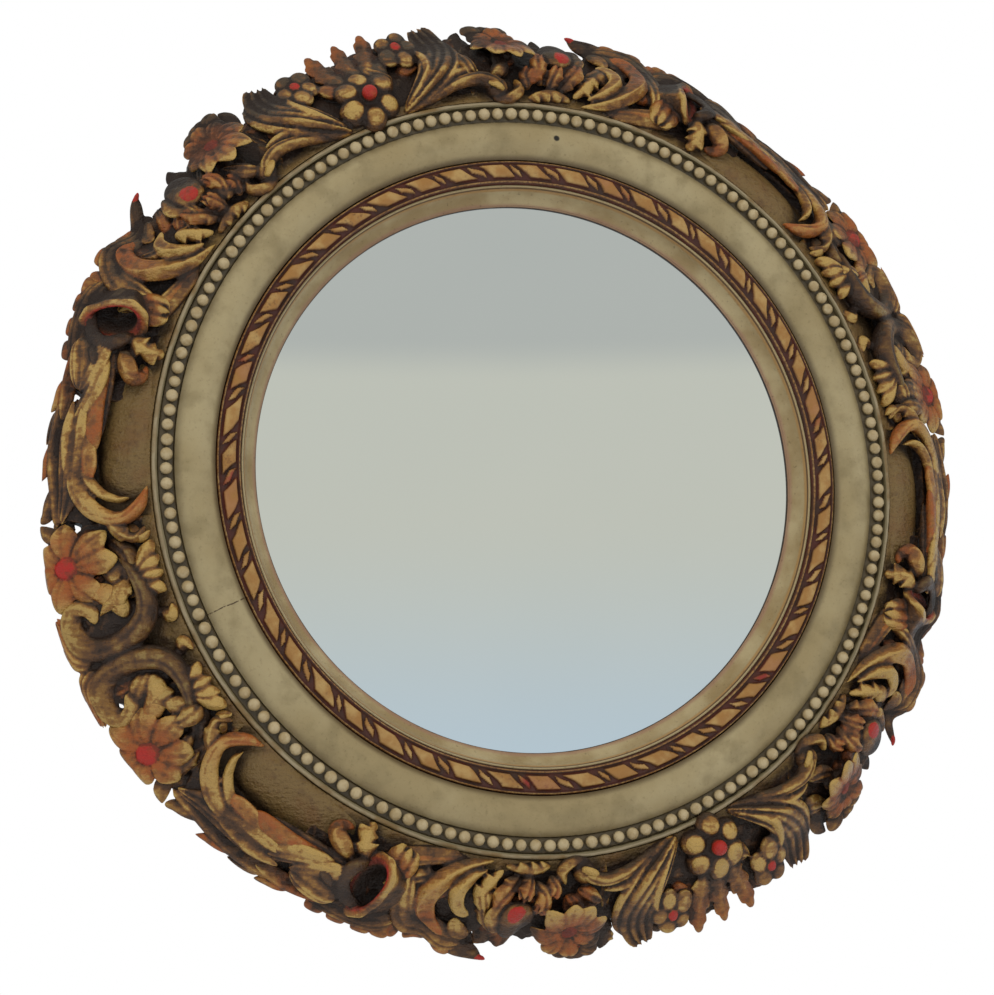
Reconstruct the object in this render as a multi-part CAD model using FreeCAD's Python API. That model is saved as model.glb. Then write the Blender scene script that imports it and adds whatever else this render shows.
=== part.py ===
"""Round carved wall mirror with a beaded and roped frame. Millimetres, +Z up.

The mirror hangs on a wall at y = 0 and faces -Y. The origin is the centre of its back.
A depth, called front below, is a distance in front of the wall. A turn is an angle in
degrees, clockwise from the top as seen from the front.
"""
import FreeCAD, Part
import math
import os

V = FreeCAD.Vector

# ---- ring, from the sight edge outwards: widths along the radius ----
sight_radius = 227.0
slip_width = 14.0
ribbon_width = 20.6
band_width = 31.8
bead_radius = 5.2
bead_gap = 1.163
bead_side_gap = 1.4
fillet_width = 4.4
ground_width = 49.0

# ---- ring, from the wall forwards: depths ----
back_gap = 5.0
ledge_depth = 10.0
board_thick = 5.0
sheet_thick = 1.0
glass_thick = 4.0
lip_thick = 1.6
slip_height = 18.6
slip_hollow = 2.2
slip_top_width = 1.6
ribbon_sink = 0.6
ribbon_rise = 9.0
band_edge_rise = 3.9
band_tilt = 1.5
band_crown = 6.6
bead_floor_drop = 3.9
bead_lift = 0.3
strip_thick = 2.5
strip_side_gap = 0.2
fillet_rise = 6.0
fillet_edge = 0.8
ground_drop = 4.5
ground_fall = 34.0

# ---- glazing ----
glass_side_gap = 2.0
board_side_gap = 1.0
slip_step = 2.5
slip_step_height = 2.0
ledge_width = 23.5

# ---- joints of the ring and its twisted ribbon ----
pattern_turn = 334.6
quarter_count = 4
spline_width = 50.0
spline_length = 30.0
spline_thick = 6.0
spline_front = 19.0
twists_per_quarter = 15
twist_groove = 2.4
twist_slant = 42.0
twist_depth = 5.0

# ---- turn buttons that hold the back board ----
button_count = 6
button_first_turn = 20.0
button_reach = 22.0
button_tail = 7.0
button_width = 12.0
button_thick = 2.0
button_play = 0.3
button_bore_gap = 0.05
button_pivot_inset = 11.5
screw_radius = 1.6
screw_head_radius = 3.4
screw_head_thick = 1.8
button_screw_length = 14.0

# ---- hangers ----
hanger_turn = 32.0
hanger_radius = 312.0
hanger_length = 46.0
hanger_width = 18.0
hanger_thick = 1.2
hanger_screw_first = 13.0
hanger_screw_pitch = 20.0
hanger_screw_length = 15.0
hanger_head_thick = 1.1
ring_wire = 1.25
ring_bore_gap = 0.05
ring_inner_width = 24.0
ring_corner = 4.0
ring_side = 6.0

# ---- wall bumpers ----
bumper_count = 4
bumper_first_turn = 45.0
bumper_radius = 8.0
bumper_inset = 20.0

# ---- carved border ----
carving_gap = 0.4
carving_base = 4.0
carving_wall_gap = 2.0
carving_base_overhang = 6.0
panel_turn = 13.0
panel_reach = 36.0
panel_margin = 3.0
panel_rise = 3.5

# ---- worked out: radii ----
slip_outer = sight_radius + slip_width
ribbon_outer = slip_outer + ribbon_width
band_outer = ribbon_outer + band_width
bead_ring_radius = band_outer + bead_side_gap + bead_radius
bead_seat_outer = band_outer + 2 * (bead_side_gap + bead_radius)
ground_inner = bead_seat_outer + fillet_width
ring_outer = ground_inner + ground_width
bore_radius = slip_outer - slip_step
ledge_outer = bore_radius + ledge_width
glass_radius = bore_radius - glass_side_gap
board_radius = bore_radius - board_side_gap

# ---- worked out: depths in front of the wall ----
ledge_front = back_gap + ledge_depth
board_front = ledge_front + board_thick
sheet_front = board_front + sheet_thick
glass_front = sheet_front + glass_thick
slip_front = glass_front + slip_height
ribbon_floor = slip_front - ribbon_sink
band_inner_front = ribbon_floor + band_edge_rise
band_outer_front = band_inner_front + band_tilt
bead_floor = band_outer_front - bead_floor_drop
bead_front = bead_floor + bead_lift + bead_radius
fillet_front = bead_floor + fillet_rise
ground_front = fillet_front - ground_drop
ground_low = ground_front - ground_fall
bead_count = round(2 * math.pi * bead_ring_radius / (2 * bead_radius + bead_gap))
quarter_turn = 360.0 / quarter_count


# ---- small helpers ----
def spot(turn, radius, front):
    angle = math.radians(turn)
    return V(radius * math.sin(angle), -front, radius * math.cos(angle))


def outward(turn):
    return spot(turn, 1.0, 0.0)


def clockwise(turn):
    return spot(turn + 90.0, 1.0, 0.0)


def section(points):
    """Closed face in the half plane at turn 0 from (radius, front) corners and arcs.

    A corner given with a third value ends an arc whose middle bulges by that much.
    """
    edges = []
    for index, corner in enumerate(points):
        start = points[index - 1]
        a = spot(0, start[0], start[1])
        b = spot(0, corner[0], corner[1])
        bulge = corner[2] if len(corner) > 2 else 0.0
        if bulge:
            middle = (a + b) * 0.5
            across = V(0, (b - a).z, -(b - a).y).normalize()
            edges.append(Part.Arc(a, middle + across * bulge, b).toShape())
        else:
            edges.append(Part.makeLine(a, b))
    return Part.Face(Part.Wire(edges))


def spun(points, first_turn=0.0, sweep=360.0):
    face = section(points)
    face.rotate(V(0, 0, 0), V(0, 1, 0), first_turn)
    return face.revolve(V(0, 0, 0), V(0, 1, 0), sweep)


def turned(shape, turn):
    copy = shape.copy()
    copy.rotate(V(0, 0, 0), V(0, 1, 0), turn)
    return copy


def front_cylinder(radius, length, turn, distance, back):
    """Round bar standing on the depth called back, pointing to the front."""
    return Part.makeCylinder(radius, length, spot(turn, distance, back), V(0, -1, 0))


def upright_box(turn, distance, width, height, back, thick):
    """Plate parallel to the wall, its height along the radius, centred on its distance."""
    box = Part.makeBox(width, thick, height, V(-width / 2, -back - thick, distance - height / 2))
    return turned(box, turn)


def fused(shapes):
    whole = shapes[0].multiFuse(shapes[1:]) if len(shapes) > 1 else shapes[0]
    return whole.removeSplitter()


# ---- where the screws go ----
button_turns = [button_first_turn + 360.0 / button_count * i for i in range(button_count)]
button_pivot_radius = bore_radius + button_pivot_inset
button_back = ledge_front - button_play - button_thick
hanger_sides = {"left": -1, "right": 1}
hanger_bar_front = back_gap - hanger_thick - ring_bore_gap - ring_wire
hanger_pad_back = back_gap - hanger_thick


def hanger_place(side):
    """Centre of a hanger's hinge bar."""
    return spot(side * hanger_turn, hanger_radius, hanger_bar_front)


def hanger_screw_places():
    places = []
    for side in hanger_sides.values():
        bar = hanger_place(side)
        for row in range(2):
            drop = hanger_screw_first + row * hanger_screw_pitch
            places.append(V(bar.x, -hanger_pad_back, bar.z - drop))
    return places


# ---- the wooden ring, four quarters butted and splined ----
def ring_section():
    return [
        (ledge_outer, back_gap),
        (ring_outer, back_gap),
        (ring_outer, ground_low),
        (ground_inner, ground_front),
        (ground_inner, fillet_front - fillet_edge),
        (ground_inner - fillet_edge, fillet_front),
        (bead_seat_outer, fillet_front),
        (bead_seat_outer, bead_floor),
        (band_outer, bead_floor),
        (band_outer, band_outer_front),
        (ribbon_outer, band_inner_front, band_crown),
        (ribbon_outer, ribbon_floor),
        (slip_outer, ribbon_floor),
        (slip_outer, glass_front + slip_step_height),
        (bore_radius, glass_front + slip_step_height),
        (bore_radius, ledge_front),
        (ledge_outer, ledge_front),
    ]


def spline(turn):
    middle = (ledge_outer + ring_outer) / 2
    return upright_box(turn, middle, spline_length, spline_width, spline_front, spline_thick)


def ring_quarters():
    holes = [spline(pattern_turn + quarter_turn * i) for i in range(quarter_count)]
    for turn in button_turns:
        holes.append(front_cylinder(screw_radius, button_screw_length, turn,
                                    button_pivot_radius, button_back))
    for place in hanger_screw_places():
        holes.append(Part.makeCylinder(screw_radius, hanger_screw_length, place, V(0, -1, 0)))
    cutter = Part.Compound(holes)
    quarter = spun(ring_section(), 0.0, quarter_turn)
    return [turned(quarter, pattern_turn + quarter_turn * i).cut(cutter)
            for i in range(quarter_count)]


def bead_strips():
    """The string of beads comes in four lengths, cut between beads."""
    pitch = 360.0 / bead_count
    strips = []
    first = 0
    for quarter in range(quarter_count):
        last = round(bead_count * (quarter + 1) / quarter_count)
        inner = band_outer + strip_side_gap
        outer = bead_seat_outer - strip_side_gap
        base = spun([(inner, bead_floor), (outer, bead_floor),
                     (outer, bead_floor + strip_thick), (inner, bead_floor + strip_thick)],
                    first * pitch, (last - first) * pitch)
        beads = [Part.makeSphere(bead_radius, spot((n + 0.5) * pitch, bead_ring_radius, bead_front))
                 for n in range(first, last)]
        strips.append(turned(base.multiFuse(beads), pattern_turn))
        first = last
    return strips


def ribbon_strips():
    """Half-round moulding with slanting grooves, as a ribbon twisted round a rod."""
    strip = spun([(slip_outer, ribbon_floor, ribbon_rise), (ribbon_outer, ribbon_floor)],
                 0.0, quarter_turn)
    middle = (slip_outer + ribbon_outer) / 2
    pitch = quarter_turn / twists_per_quarter
    height = ribbon_rise
    length = ribbon_width * 2.4
    groove = Part.makeBox(twist_groove, height, length,
                          V(-twist_groove / 2, -ribbon_floor - ribbon_rise + twist_depth - height,
                            middle - length / 2))
    groove.rotate(spot(0, middle, 0), V(0, 1, 0), -twist_slant)
    grooves = [turned(groove, (n + 0.5) * pitch) for n in range(twists_per_quarter)]
    strip = strip.cut(Part.Compound(grooves))
    return [turned(strip, pattern_turn + quarter_turn * i) for i in range(quarter_count)]


def sight_slip():
    step_front = glass_front + slip_step_height
    return spun([
        (sight_radius, glass_front),
        (bore_radius, glass_front),
        (bore_radius, step_front),
        (slip_outer, step_front),
        (slip_outer, slip_front),
        (slip_outer - slip_top_width, slip_front),
        (sight_radius, glass_front + lip_thick, -slip_hollow),
    ])


def disc(radius, back, thick):
    return Part.makeCylinder(radius, thick, V(0, -back, 0), V(0, -1, 0))


# ---- back hardware ----
def turn_button(turn):
    """Brass plate on a screw, its long end over the back board."""
    reach = button_reach - button_width / 2
    tail = button_tail - button_width / 2
    bar = upright_box(turn, button_pivot_radius - (reach - tail) / 2, button_width, reach + tail,
                      button_back, button_thick)
    ends = [front_cylinder(button_width / 2, button_thick, turn,
                           button_pivot_radius + offset, button_back) for offset in (-reach, tail)]
    bore = front_cylinder(screw_radius + button_bore_gap, button_thick, turn,
                          button_pivot_radius, button_back)
    return fused([bar] + ends).cut(bore)


def button_screw(turn):
    head_back = button_back - button_bore_gap - screw_head_thick
    head = front_cylinder(screw_head_radius, screw_head_thick, turn, button_pivot_radius, head_back)
    shank = front_cylinder(screw_radius, button_screw_length + button_bore_gap, turn,
                           button_pivot_radius, button_back - button_bore_gap)
    return head.fuse(shank).removeSplitter()


def hanger_screw(place):
    head = Part.makeCylinder(screw_head_radius, hanger_head_thick, place, V(0, 1, 0))
    shank = Part.makeCylinder(screw_radius, hanger_screw_length, place, V(0, -1, 0))
    return head.fuse(shank).removeSplitter()


def hanger_plate(side):
    """Strap with a rolled eye at its top for the hinge bar of the ring."""
    bar = hanger_place(side)
    eye_length = ring_inner_width - 2 * ring_corner
    eye_inner = ring_wire + ring_bore_gap
    eye_outer = eye_inner + hanger_thick
    start = V(bar.x - eye_length / 2, bar.y, bar.z)
    eye = Part.makeCylinder(eye_outer, eye_length, start, V(1, 0, 0))
    strap = Part.makeBox(hanger_width, hanger_thick, hanger_length,
                         V(bar.x - hanger_width / 2, -back_gap, bar.z - hanger_length))
    bore = Part.makeCylinder(eye_inner, eye_length * 2,
                             V(bar.x - eye_length, bar.y, bar.z), V(1, 0, 0))
    holes = [Part.makeCylinder(screw_radius, hanger_thick, V(bar.x, place.y, place.z), V(0, -1, 0))
             for place in hanger_screw_places() if abs(place.x - bar.x) < hanger_width]
    return eye.fuse(strap).removeSplitter().cut(bore).cut(Part.Compound(holes))


def hanger_ring(side):
    """Wire ring with a straight hinge bar below, square corners and a round top."""
    bar = hanger_place(side)
    half = ring_inner_width / 2 + ring_wire
    corner = ring_corner
    rise = corner + ring_side

    def point(x, z):
        return V(bar.x + x, bar.y, bar.z + z)

    bend = corner * (1 - math.sqrt(0.5))
    edges = [
        Part.makeLine(point(0, 0), point(half - corner, 0)),
        Part.Arc(point(half - corner, 0), point(half - bend, bend), point(half, corner)).toShape(),
        Part.makeLine(point(half, corner), point(half, rise)),
        Part.Arc(point(half, rise), point(0, rise + half), point(-half, rise)).toShape(),
        Part.makeLine(point(-half, rise), point(-half, corner)),
        Part.Arc(point(-half, corner), point(-half + bend, bend), point(-half + corner, 0)).toShape(),
        Part.makeLine(point(-half + corner, 0), point(0, 0)),
    ]
    wire = Part.Wire(Part.makeCircle(ring_wire, point(0, 0), V(1, 0, 0)))
    return Part.Wire(edges).makePipeShell([wire], True, False)


def bumper(turn):
    return front_cylinder(bumper_radius, back_gap, turn, ring_outer - bumper_inset, 0.0)


# ---- carved border: primitives ----
slope = math.degrees(math.atan2(ground_fall, ground_width))


def seat_normal(turn):
    """Square to the sloping ground, away from the wood."""
    lean = math.radians(slope)
    return outward(turn) * math.sin(lean) + V(0, -1, 0) * math.cos(lean)


def carved(turn, reach, lift):
    """A place on the border: reach from the ground's inner edge, lift above that edge."""
    return spot(turn, ground_inner + reach, ground_front + lift)


def bud_form(start, end, start_radius, end_radius):
    """Rounded taper: a ball at each end and a cone that touches both."""
    length = start.distanceToPoint(end)
    lean = math.asin(min(max((start_radius - end_radius) / length, -0.95), 0.95))

    def rim(height, radius, angle):
        return V(radius * math.cos(angle), 0, height + radius * math.sin(angle))

    low = rim(0, start_radius, lean)
    high = rim(length, end_radius, lean)
    foot = V(0, 0, -start_radius)
    head = V(0, 0, length + end_radius)
    edges = [
        Part.Arc(foot, rim(0, start_radius, (lean - math.pi / 2) / 2), low).toShape(),
        Part.makeLine(low, high),
        Part.Arc(high, rim(length, end_radius, (lean + math.pi / 2) / 2), head).toShape(),
        Part.makeLine(head, foot),
    ]
    solid = Part.Face(Part.Wire(edges)).revolve(V(0, 0, 0), V(0, 0, 1), 360)
    solid.Placement = FreeCAD.Placement(start, FreeCAD.Rotation(V(0, 0, 1), end - start))
    return solid


def lobe(start, end, width, tip_width):
    """Leaf lobe from one place on the border to another."""
    return bud_form(carved(*start), carved(*end), width / 2, tip_width / 2)


def stock(place, radius):
    """Wood left under a raised form, down into the ground."""
    top = carved(*place)
    normal = seat_normal(place[0])
    return Part.makeCone(radius * 1.25, radius, ground_fall, top - normal * ground_fall, normal)


def berry(place, radius):
    return [Part.makeSphere(radius, carved(*place)), stock(place, radius * 0.7)]


def flower(place, petals, petal_length, petal_width, heart, first=0.0):
    """Open flower facing out of the sloping ground, with a round heart."""
    centre = carved(*place)
    normal = seat_normal(place[0])
    across = clockwise(place[0])
    up = normal.cross(across)
    shapes = [stock(place, petal_length * 0.4), Part.makeSphere(heart, centre + normal * heart * 0.5)]
    for index in range(petals):
        angle = math.radians(first + 360.0 / petals * index)
        along = across * math.cos(angle) + up * math.sin(angle) - normal * 0.12
        shapes.append(bud_form(centre + along * heart * 0.5,
                               centre + along * (petal_length - petal_width / 2),
                               petal_width * 0.3, petal_width / 2))
    return shapes


def curl(place, radius, wire, hand=1, first=0.0, quarters=3):
    """Flat roll lying on the sloping ground, wound inwards in tangent quarter turns."""
    centre = carved(*place)
    normal = seat_normal(place[0])
    across = clockwise(place[0]) * hand
    up = normal.cross(clockwise(place[0]))
    shrink = (radius - wire * 1.25) / (quarters - 1)

    def bearing(step):
        angle = math.radians(first + 90.0 * step)
        return across * math.cos(angle) + up * math.sin(angle)

    edges = []
    start = centre + bearing(0) * radius
    for step in range(quarters):
        arc = [centre + bearing(step + part) * radius for part in (0, 0.5, 1)]
        edges.append(Part.Arc(*arc).toShape())
        centre += bearing(step + 1) * shrink
        radius -= shrink
    ring = Part.Wire(Part.makeCircle(wire, start, bearing(0).cross(bearing(0.5))
                                     .cross(bearing(0))))
    roll = Part.Wire(edges).makePipeShell([ring], True, False)
    return [roll, Part.makeSphere(wire * 1.25, start), Part.makeSphere(wire * 1.4, arc[-1])]


def ground_cutter():
    """Everything the carvings may not enter: the ring, the beads and the wall side."""
    far = ring_outer * 2
    high = fillet_front * 3
    low = back_gap + carving_wall_gap
    return spun([(ground_inner / 2, high), (ground_inner / 2, -low), (far, -low), (far, low),
                 (ring_outer, low), (ring_outer, ground_low), (ground_inner, ground_front),
                 (ground_inner, high)])


def base_plate(first, last, reach):
    """Thin root of a carving on the sloping ground."""
    slant = ground_fall / ground_width
    outer = ground_inner + reach
    edge_front = ground_front - slant * reach
    return spun([(ground_inner, ground_front), (ground_inner, ground_front + carving_base),
                 (outer, edge_front + carving_base), (outer, edge_front)], first, last - first)


def grown(root, shapes):
    for shape in shapes:
        root = root.fuse(shape)
    return root


def seated(whole, first, last, cutter):
    """A carving trimmed to its stretch and set on the ground; trimming may leave offcuts."""
    trim = math.degrees(carving_gap / 2 / ground_inner)
    inner = ground_inner * 0.99
    outer = ring_outer * 1.3
    high = fillet_front * 2.5
    stretch = spun([(inner, 0), (outer, 0), (outer, high), (inner, high)],
                   first + trim, last - first - 2 * trim)
    cut = whole.common(stretch).cut(cutter)
    return max(cut.Solids, key=lambda solid: solid.Volume)


def root_plate(first, last):
    return base_plate(first, last, ground_width + carving_base_overhang)


def carving(shapes, first, last, cutter):
    return seated(grown(root_plate(first, last), shapes), first, last, cutter)


def twin_carving(half_shapes, middle_shapes, middle, last, cutter):
    """A carving that is its own mirror image about the turn called middle."""
    half = grown(root_plate(middle, last), half_shapes)
    other = half.mirror(V(0, 0, 0), clockwise(middle))
    return seated(grown(half.fuse(other), middle_shapes), 2 * middle - last, last, cutter)


# ---- carved border: the patterns, over one quarter from a bouquet to a pair of volutes ----
bouquet_end = 16.0
spray_end = 31.5
hook_end = 44.0
horn_end = 57.5
cartouche_end = 74.2
rosette_end = 83.5


def bouquet_half():
    shapes = flower((6.5, 60, 2), 5, 17, 12, 5, first=90)
    for turn, reach, lift in ((7.7, 74, -30), (10.2, 80, -34), (12.7, 78, -34), (14.7, 66, -27)):
        shapes.append(lobe((turn * 0.55 + 4, 13, -3), (turn, reach - 3, lift), 14, 6))
    shapes.append(lobe((5, 8, 0), (13.6, 30, -4), 11, 7))
    return shapes


def bouquet_middle():
    return flower((0, 22, 12), 6, 27, 17, 7, first=8) + [lobe((0, 34, -6), (0, 77, -28), 15, 7)]


def flower_spray():
    shapes = flower((21.4, 54, 4), 8, 26, 11, 6.5)
    shapes += berry((19.6, 11.5, 4), 10)
    shapes += berry((28.2, 45, -4), 15)
    shapes.append(lobe((30.2, 9, -2), (22.5, 23, -1), 11, 7))
    shapes.append(lobe((24.5, 17, -2), (29.5, 30, -7), 10, 8))
    shapes.append(lobe((27.0, 42, -20), (30.2, 74, -36), 13, 6))
    shapes.append(lobe((24.5, 38, -20), (25.6, 77, -37), 13, 6))
    return shapes


def hook_leaf():
    shapes = curl((35.3, 24, -9), 14, 5.5, hand=-1, first=200)
    shapes.append(lobe((42.8, 9, -3), (36.4, 32, -6), 13, 9))
    shapes.append(lobe((41.3, 18, -7), (36.2, 56, -22), 13, 9))
    shapes.append(lobe((39.8, 34, -18), (37.8, 77, -35), 14, 6))
    shapes.append(lobe((38.0, 46, -22), (33.6, 76, -34), 14, 6))
    shapes.append(lobe((42.3, 28, -17), (41.8, 66, -38), 13, 6))
    return shapes


def horn():
    """Hollow horn lying along the border, its mouth towards the cartouche."""
    small = carved(44.4, 29, -6)
    mouth = carved(50.6, 37, 3)
    small_radius = 9.0
    mouth_radius = 17.0
    hollow_depth = 18.0
    wall = 4.5
    heading = mouth - small
    length = heading.Length
    heading.normalize()
    body = Part.makeCone(small_radius, mouth_radius, length, small, heading)
    lip = Part.makeTorus(mouth_radius - 1.5, 3.4, mouth, heading)
    hollow = Part.makeCone(mouth_radius - wall, small_radius - wall / 2, hollow_depth,
                           mouth + heading * 0.5, heading * -1)
    return body.fuse(Part.makeSphere(small_radius, small)).fuse(lip).cut(hollow)


def horn_scroll():
    shapes = [horn(), lobe((48.6, 37, 0), (58.5, 47, -20), 17, 12)]
    for turn, reach, lift in ((45.0, 70, -28), (46.9, 78, -33), (49.4, 78, -35), (52.4, 76, -34)):
        shapes.append(lobe((turn * 0.85 + 7.2, 42, -14), (turn, reach - 2, lift), 15, 9))
    for turn, reach, lift in ((51.8, 10, -3), (54.0, 13, -5), (49.4, 8, -1)):
        shapes.append(lobe((turn - 3.0, 26, -2), (turn, reach, lift), 12, 7))
    return shapes


def cartouche_panel():
    """Plain raised ground beside the bead string."""
    first = horn_end + 0.4
    last = first + panel_turn
    slant = ground_fall / ground_width
    low = carving_base + panel_rise * 0.4
    high = carving_base + panel_rise
    edge = panel_margin
    return spun([
        (ground_inner, ground_front),
        (ground_inner, ground_front + low),
        (ground_inner + edge, ground_front - slant * edge + high),
        (ground_inner + panel_reach - edge, ground_front - slant * (panel_reach - edge) + high),
        (ground_inner + panel_reach, ground_front - slant * panel_reach + low),
        (ground_inner + panel_reach, ground_front - slant * panel_reach),
    ], first, last - first)


def cartouche():
    shapes = [cartouche_panel(), lobe((58.2, 46, -24), (72.5, 39, -21), 15, 12)]
    for turn, reach, lift in ((59.0, 76, -36), (62.2, 79, -37), (65.4, 76, -36), (68.4, 76, -37),
                              (71.4, 70, -35)):
        shapes.append(lobe((turn - 1.2, 40, -22), (turn, reach - 1, lift), 14, 6))
    shapes += curl((71.2, 22, -10), 13, 5, hand=1, first=120)
    return shapes


def rosette():
    shapes = flower((78.8, 55, -22), 7, 27, 15, 7.5, first=12)
    shapes += curl((79.2, 16, -9), 11, 4.5, hand=-1, first=40)
    shapes.append(lobe((75.6, 11, -6), (81.3, 30, -17), 10, 8))
    return shapes


def volute_half():
    shapes = curl((93.0, 54, -29), 14, 6, first=110)
    shapes.append(lobe((91.2, 38, -20), (94.6, 10, -4), 12, 7))
    shapes.append(lobe((93.0, 40, -24), (95.4, 25, -15), 11, 8))
    return shapes


def volute_middle():
    return [lobe((90, 15, -8), (90, 76, -34), 15, 8)]


def quarter_copies(shape):
    """The same carving in four quarters: as made, mirrored, and both again half a turn on."""
    mirrored = shape.mirror(V(0, 0, 0), V(1, 0, 0))
    return [turned(shape, pattern_turn), turned(mirrored, pattern_turn + 180.0),
            turned(shape, pattern_turn + 180.0), turned(mirrored, pattern_turn)]


def carvings():
    cutter = ground_cutter()
    pieces = {}
    stretches = {
        "flower_spray": (flower_spray(), bouquet_end, spray_end),
        "hook_leaf": (hook_leaf(), spray_end, hook_end),
        "horn_scroll": (horn_scroll(), hook_end, horn_end),
        "cartouche": (cartouche(), horn_end, cartouche_end),
        "rosette": (rosette(), cartouche_end, rosette_end),
    }
    for name, (shapes, first, last) in stretches.items():
        piece = carving(shapes, first, last, cutter)
        for index, copy in enumerate(quarter_copies(piece)):
            pieces[f"{name}_{index + 1}"] = copy
    posy = twin_carving(bouquet_half(), bouquet_middle(), 0.0, bouquet_end, cutter)
    pair = twin_carving(volute_half(), volute_middle(), 90.0, 180.0 - rosette_end, cutter)
    for index in range(2):
        pieces[f"bouquet_{index + 1}"] = turned(posy, pattern_turn + 180.0 * index)
        pieces[f"volute_pair_{index + 1}"] = turned(pair, pattern_turn + 180.0 * index)
    return pieces


# ---- all pieces ----
def build():
    nodes = {}
    for index, shape in enumerate(ring_quarters()):
        nodes[f"ring_quarter_{index + 1}"] = shape
    nodes["joint_splines"] = Part.Compound([spline(pattern_turn + quarter_turn * i)
                                            for i in range(quarter_count)])
    for index, shape in enumerate(bead_strips()):
        nodes[f"bead_strip_{index + 1}"] = shape
    for index, shape in enumerate(ribbon_strips()):
        nodes[f"ribbon_strip_{index + 1}"] = shape
    nodes["sight_slip"] = sight_slip()
    nodes["mirror_glass"] = disc(glass_radius, sheet_front, glass_thick)
    nodes["backing_sheet"] = disc(glass_radius, board_front, sheet_thick)
    nodes["back_board"] = disc(board_radius, ledge_front, board_thick)
    for index, turn in enumerate(button_turns):
        nodes[f"turn_button_{index + 1}"] = turn_button(turn)
    nodes["button_screws"] = Part.Compound([button_screw(turn) for turn in button_turns])
    for name, side in hanger_sides.items():
        nodes[f"hanger_plate_{name}"] = hanger_plate(side)
        nodes[f"hanger_ring_{name}"] = hanger_ring(side)
    nodes["hanger_screws"] = Part.Compound([hanger_screw(p) for p in hanger_screw_places()])
    nodes["wall_bumpers"] = Part.Compound([bumper(bumper_first_turn + 360.0 / bumper_count * i)
                                           for i in range(bumper_count)])
    nodes.update(carvings())
    return nodes


os.makedirs("parts", exist_ok=True)
for node, shape in build().items():
    shape.exportStep(f"parts/{node}.step")
    print(node, "solids", len(shape.Solids), "volume", round(shape.Volume), "valid", shape.isValid())
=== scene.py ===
import bpy
import bmesh
import math
import random
import numpy as np
from mathutils import Matrix, Vector


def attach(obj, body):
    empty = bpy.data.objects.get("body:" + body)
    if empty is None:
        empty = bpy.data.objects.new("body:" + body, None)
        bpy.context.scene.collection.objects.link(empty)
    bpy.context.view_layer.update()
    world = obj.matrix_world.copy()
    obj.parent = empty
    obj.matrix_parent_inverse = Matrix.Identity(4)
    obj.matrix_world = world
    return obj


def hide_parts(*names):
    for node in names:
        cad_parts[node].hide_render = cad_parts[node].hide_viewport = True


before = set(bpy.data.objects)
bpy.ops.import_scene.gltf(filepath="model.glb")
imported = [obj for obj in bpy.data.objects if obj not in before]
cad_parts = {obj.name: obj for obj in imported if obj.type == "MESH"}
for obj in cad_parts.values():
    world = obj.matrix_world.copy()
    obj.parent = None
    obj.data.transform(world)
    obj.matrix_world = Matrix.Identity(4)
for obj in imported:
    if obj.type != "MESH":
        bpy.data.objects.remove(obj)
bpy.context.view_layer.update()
random.seed(11)
print("frame loaded:", len(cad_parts), "nodes")

# Lengths are in millimetres until a mesh is finished. A turn is in degrees, clockwise from the top
# as seen from the front, and a front is a distance out from the wall.
ring = {
    "patternTurn": 334.6,  # turn of the first bouquet
    "slipOuter": 241.0,  # radii, from the glass outwards
    "ribbonOuter": 261.6,
    "bandOuter": 293.4,
    "beadRow": 300.0,
    "beadSeatOuter": 306.6,
    "groundInner": 311.0,
    "groundFront": 46.0,
}


def spots(turn, radius, front):
    angle = np.radians(np.asarray(turn, float))
    front = np.asarray(front, float)
    return np.stack([radius * np.sin(angle), -front + 0 * angle, radius * np.cos(angle)], axis=-1)


def meshFrom(made, name):
    mesh = bpy.data.meshes.new(name)
    made.to_mesh(mesh)
    made.free()
    return mesh


def addObject(name, data):
    thing = bpy.data.objects.new(name, data)
    bpy.context.scene.collection.objects.link(thing)
    return thing


def readRows(items, key, width=3, kind=float):
    values = np.empty(len(items) * width, kind)
    items.foreach_get(key, values)
    return values.reshape(-1, width)


def toUnit(vector):
    return vector / np.linalg.norm(vector)


def showPiece(name, mesh, materials, node, sharpAngle=None):
    mesh.transform(Matrix.Scale(0.001, 4))
    piece = addObject(name, mesh)
    for material in materials:
        mesh.materials.append(material)
    mesh.shade_smooth()
    if sharpAngle:
        mesh.set_sharp_from_angle(angle=math.radians(sharpAngle))
    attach(piece, "frame")
    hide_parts(node)


# materials: each is started, painted in layers and finished, one at a time
bench = {}


def startMaterial(name, roughness=0.5, metallic=0.0):
    material = bpy.data.materials.new(name)
    material.use_nodes = True
    shader = material.node_tree.nodes["Principled BSDF"]
    shader.inputs["Roughness"].default_value = roughness
    shader.inputs["Metallic"].default_value = metallic
    bench.update(material=material, tree=material.node_tree, shader=shader)


def addNode(kind, inputs=None, **settings):
    tree = bench["tree"]
    made = tree.nodes.new(kind)
    for name, value in settings.items():
        setattr(made, name, value)
    for key, value in (inputs or {}).items():
        if isinstance(value, bpy.types.NodeSocket):
            tree.links.new(value, made.inputs[key])
        else:
            made.inputs[key].default_value = value
    return made


def finishMaterial(paint, roughness=None, height=None, distance=0.0006, strength=1.0):
    # height is a fine grain, raised by so many metres
    wanted = {"Base Color": paint, "Roughness": roughness}
    if height:
        wanted["Normal"] = addNode("ShaderNodeBump", {"Height": height, "Distance": distance,
                                                      "Strength": strength}).outputs[0]
    for key, value in wanted.items():
        if value:
            bench["tree"].links.new(value, bench["shader"].inputs[key])
    return bench["material"]


def calc(operation, a, b=0.0):
    return addNode("ShaderNodeMath", {0: a, 1: b}, operation=operation).outputs[0]


def plus(a, b):
    return calc("ADD", a, b)


def minus(a, b):
    return calc("SUBTRACT", a, b)


def times(a, b):
    return calc("MULTIPLY", a, b)


def centred(noise, amount):
    return times(minus(noise, 0.5), amount)


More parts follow.
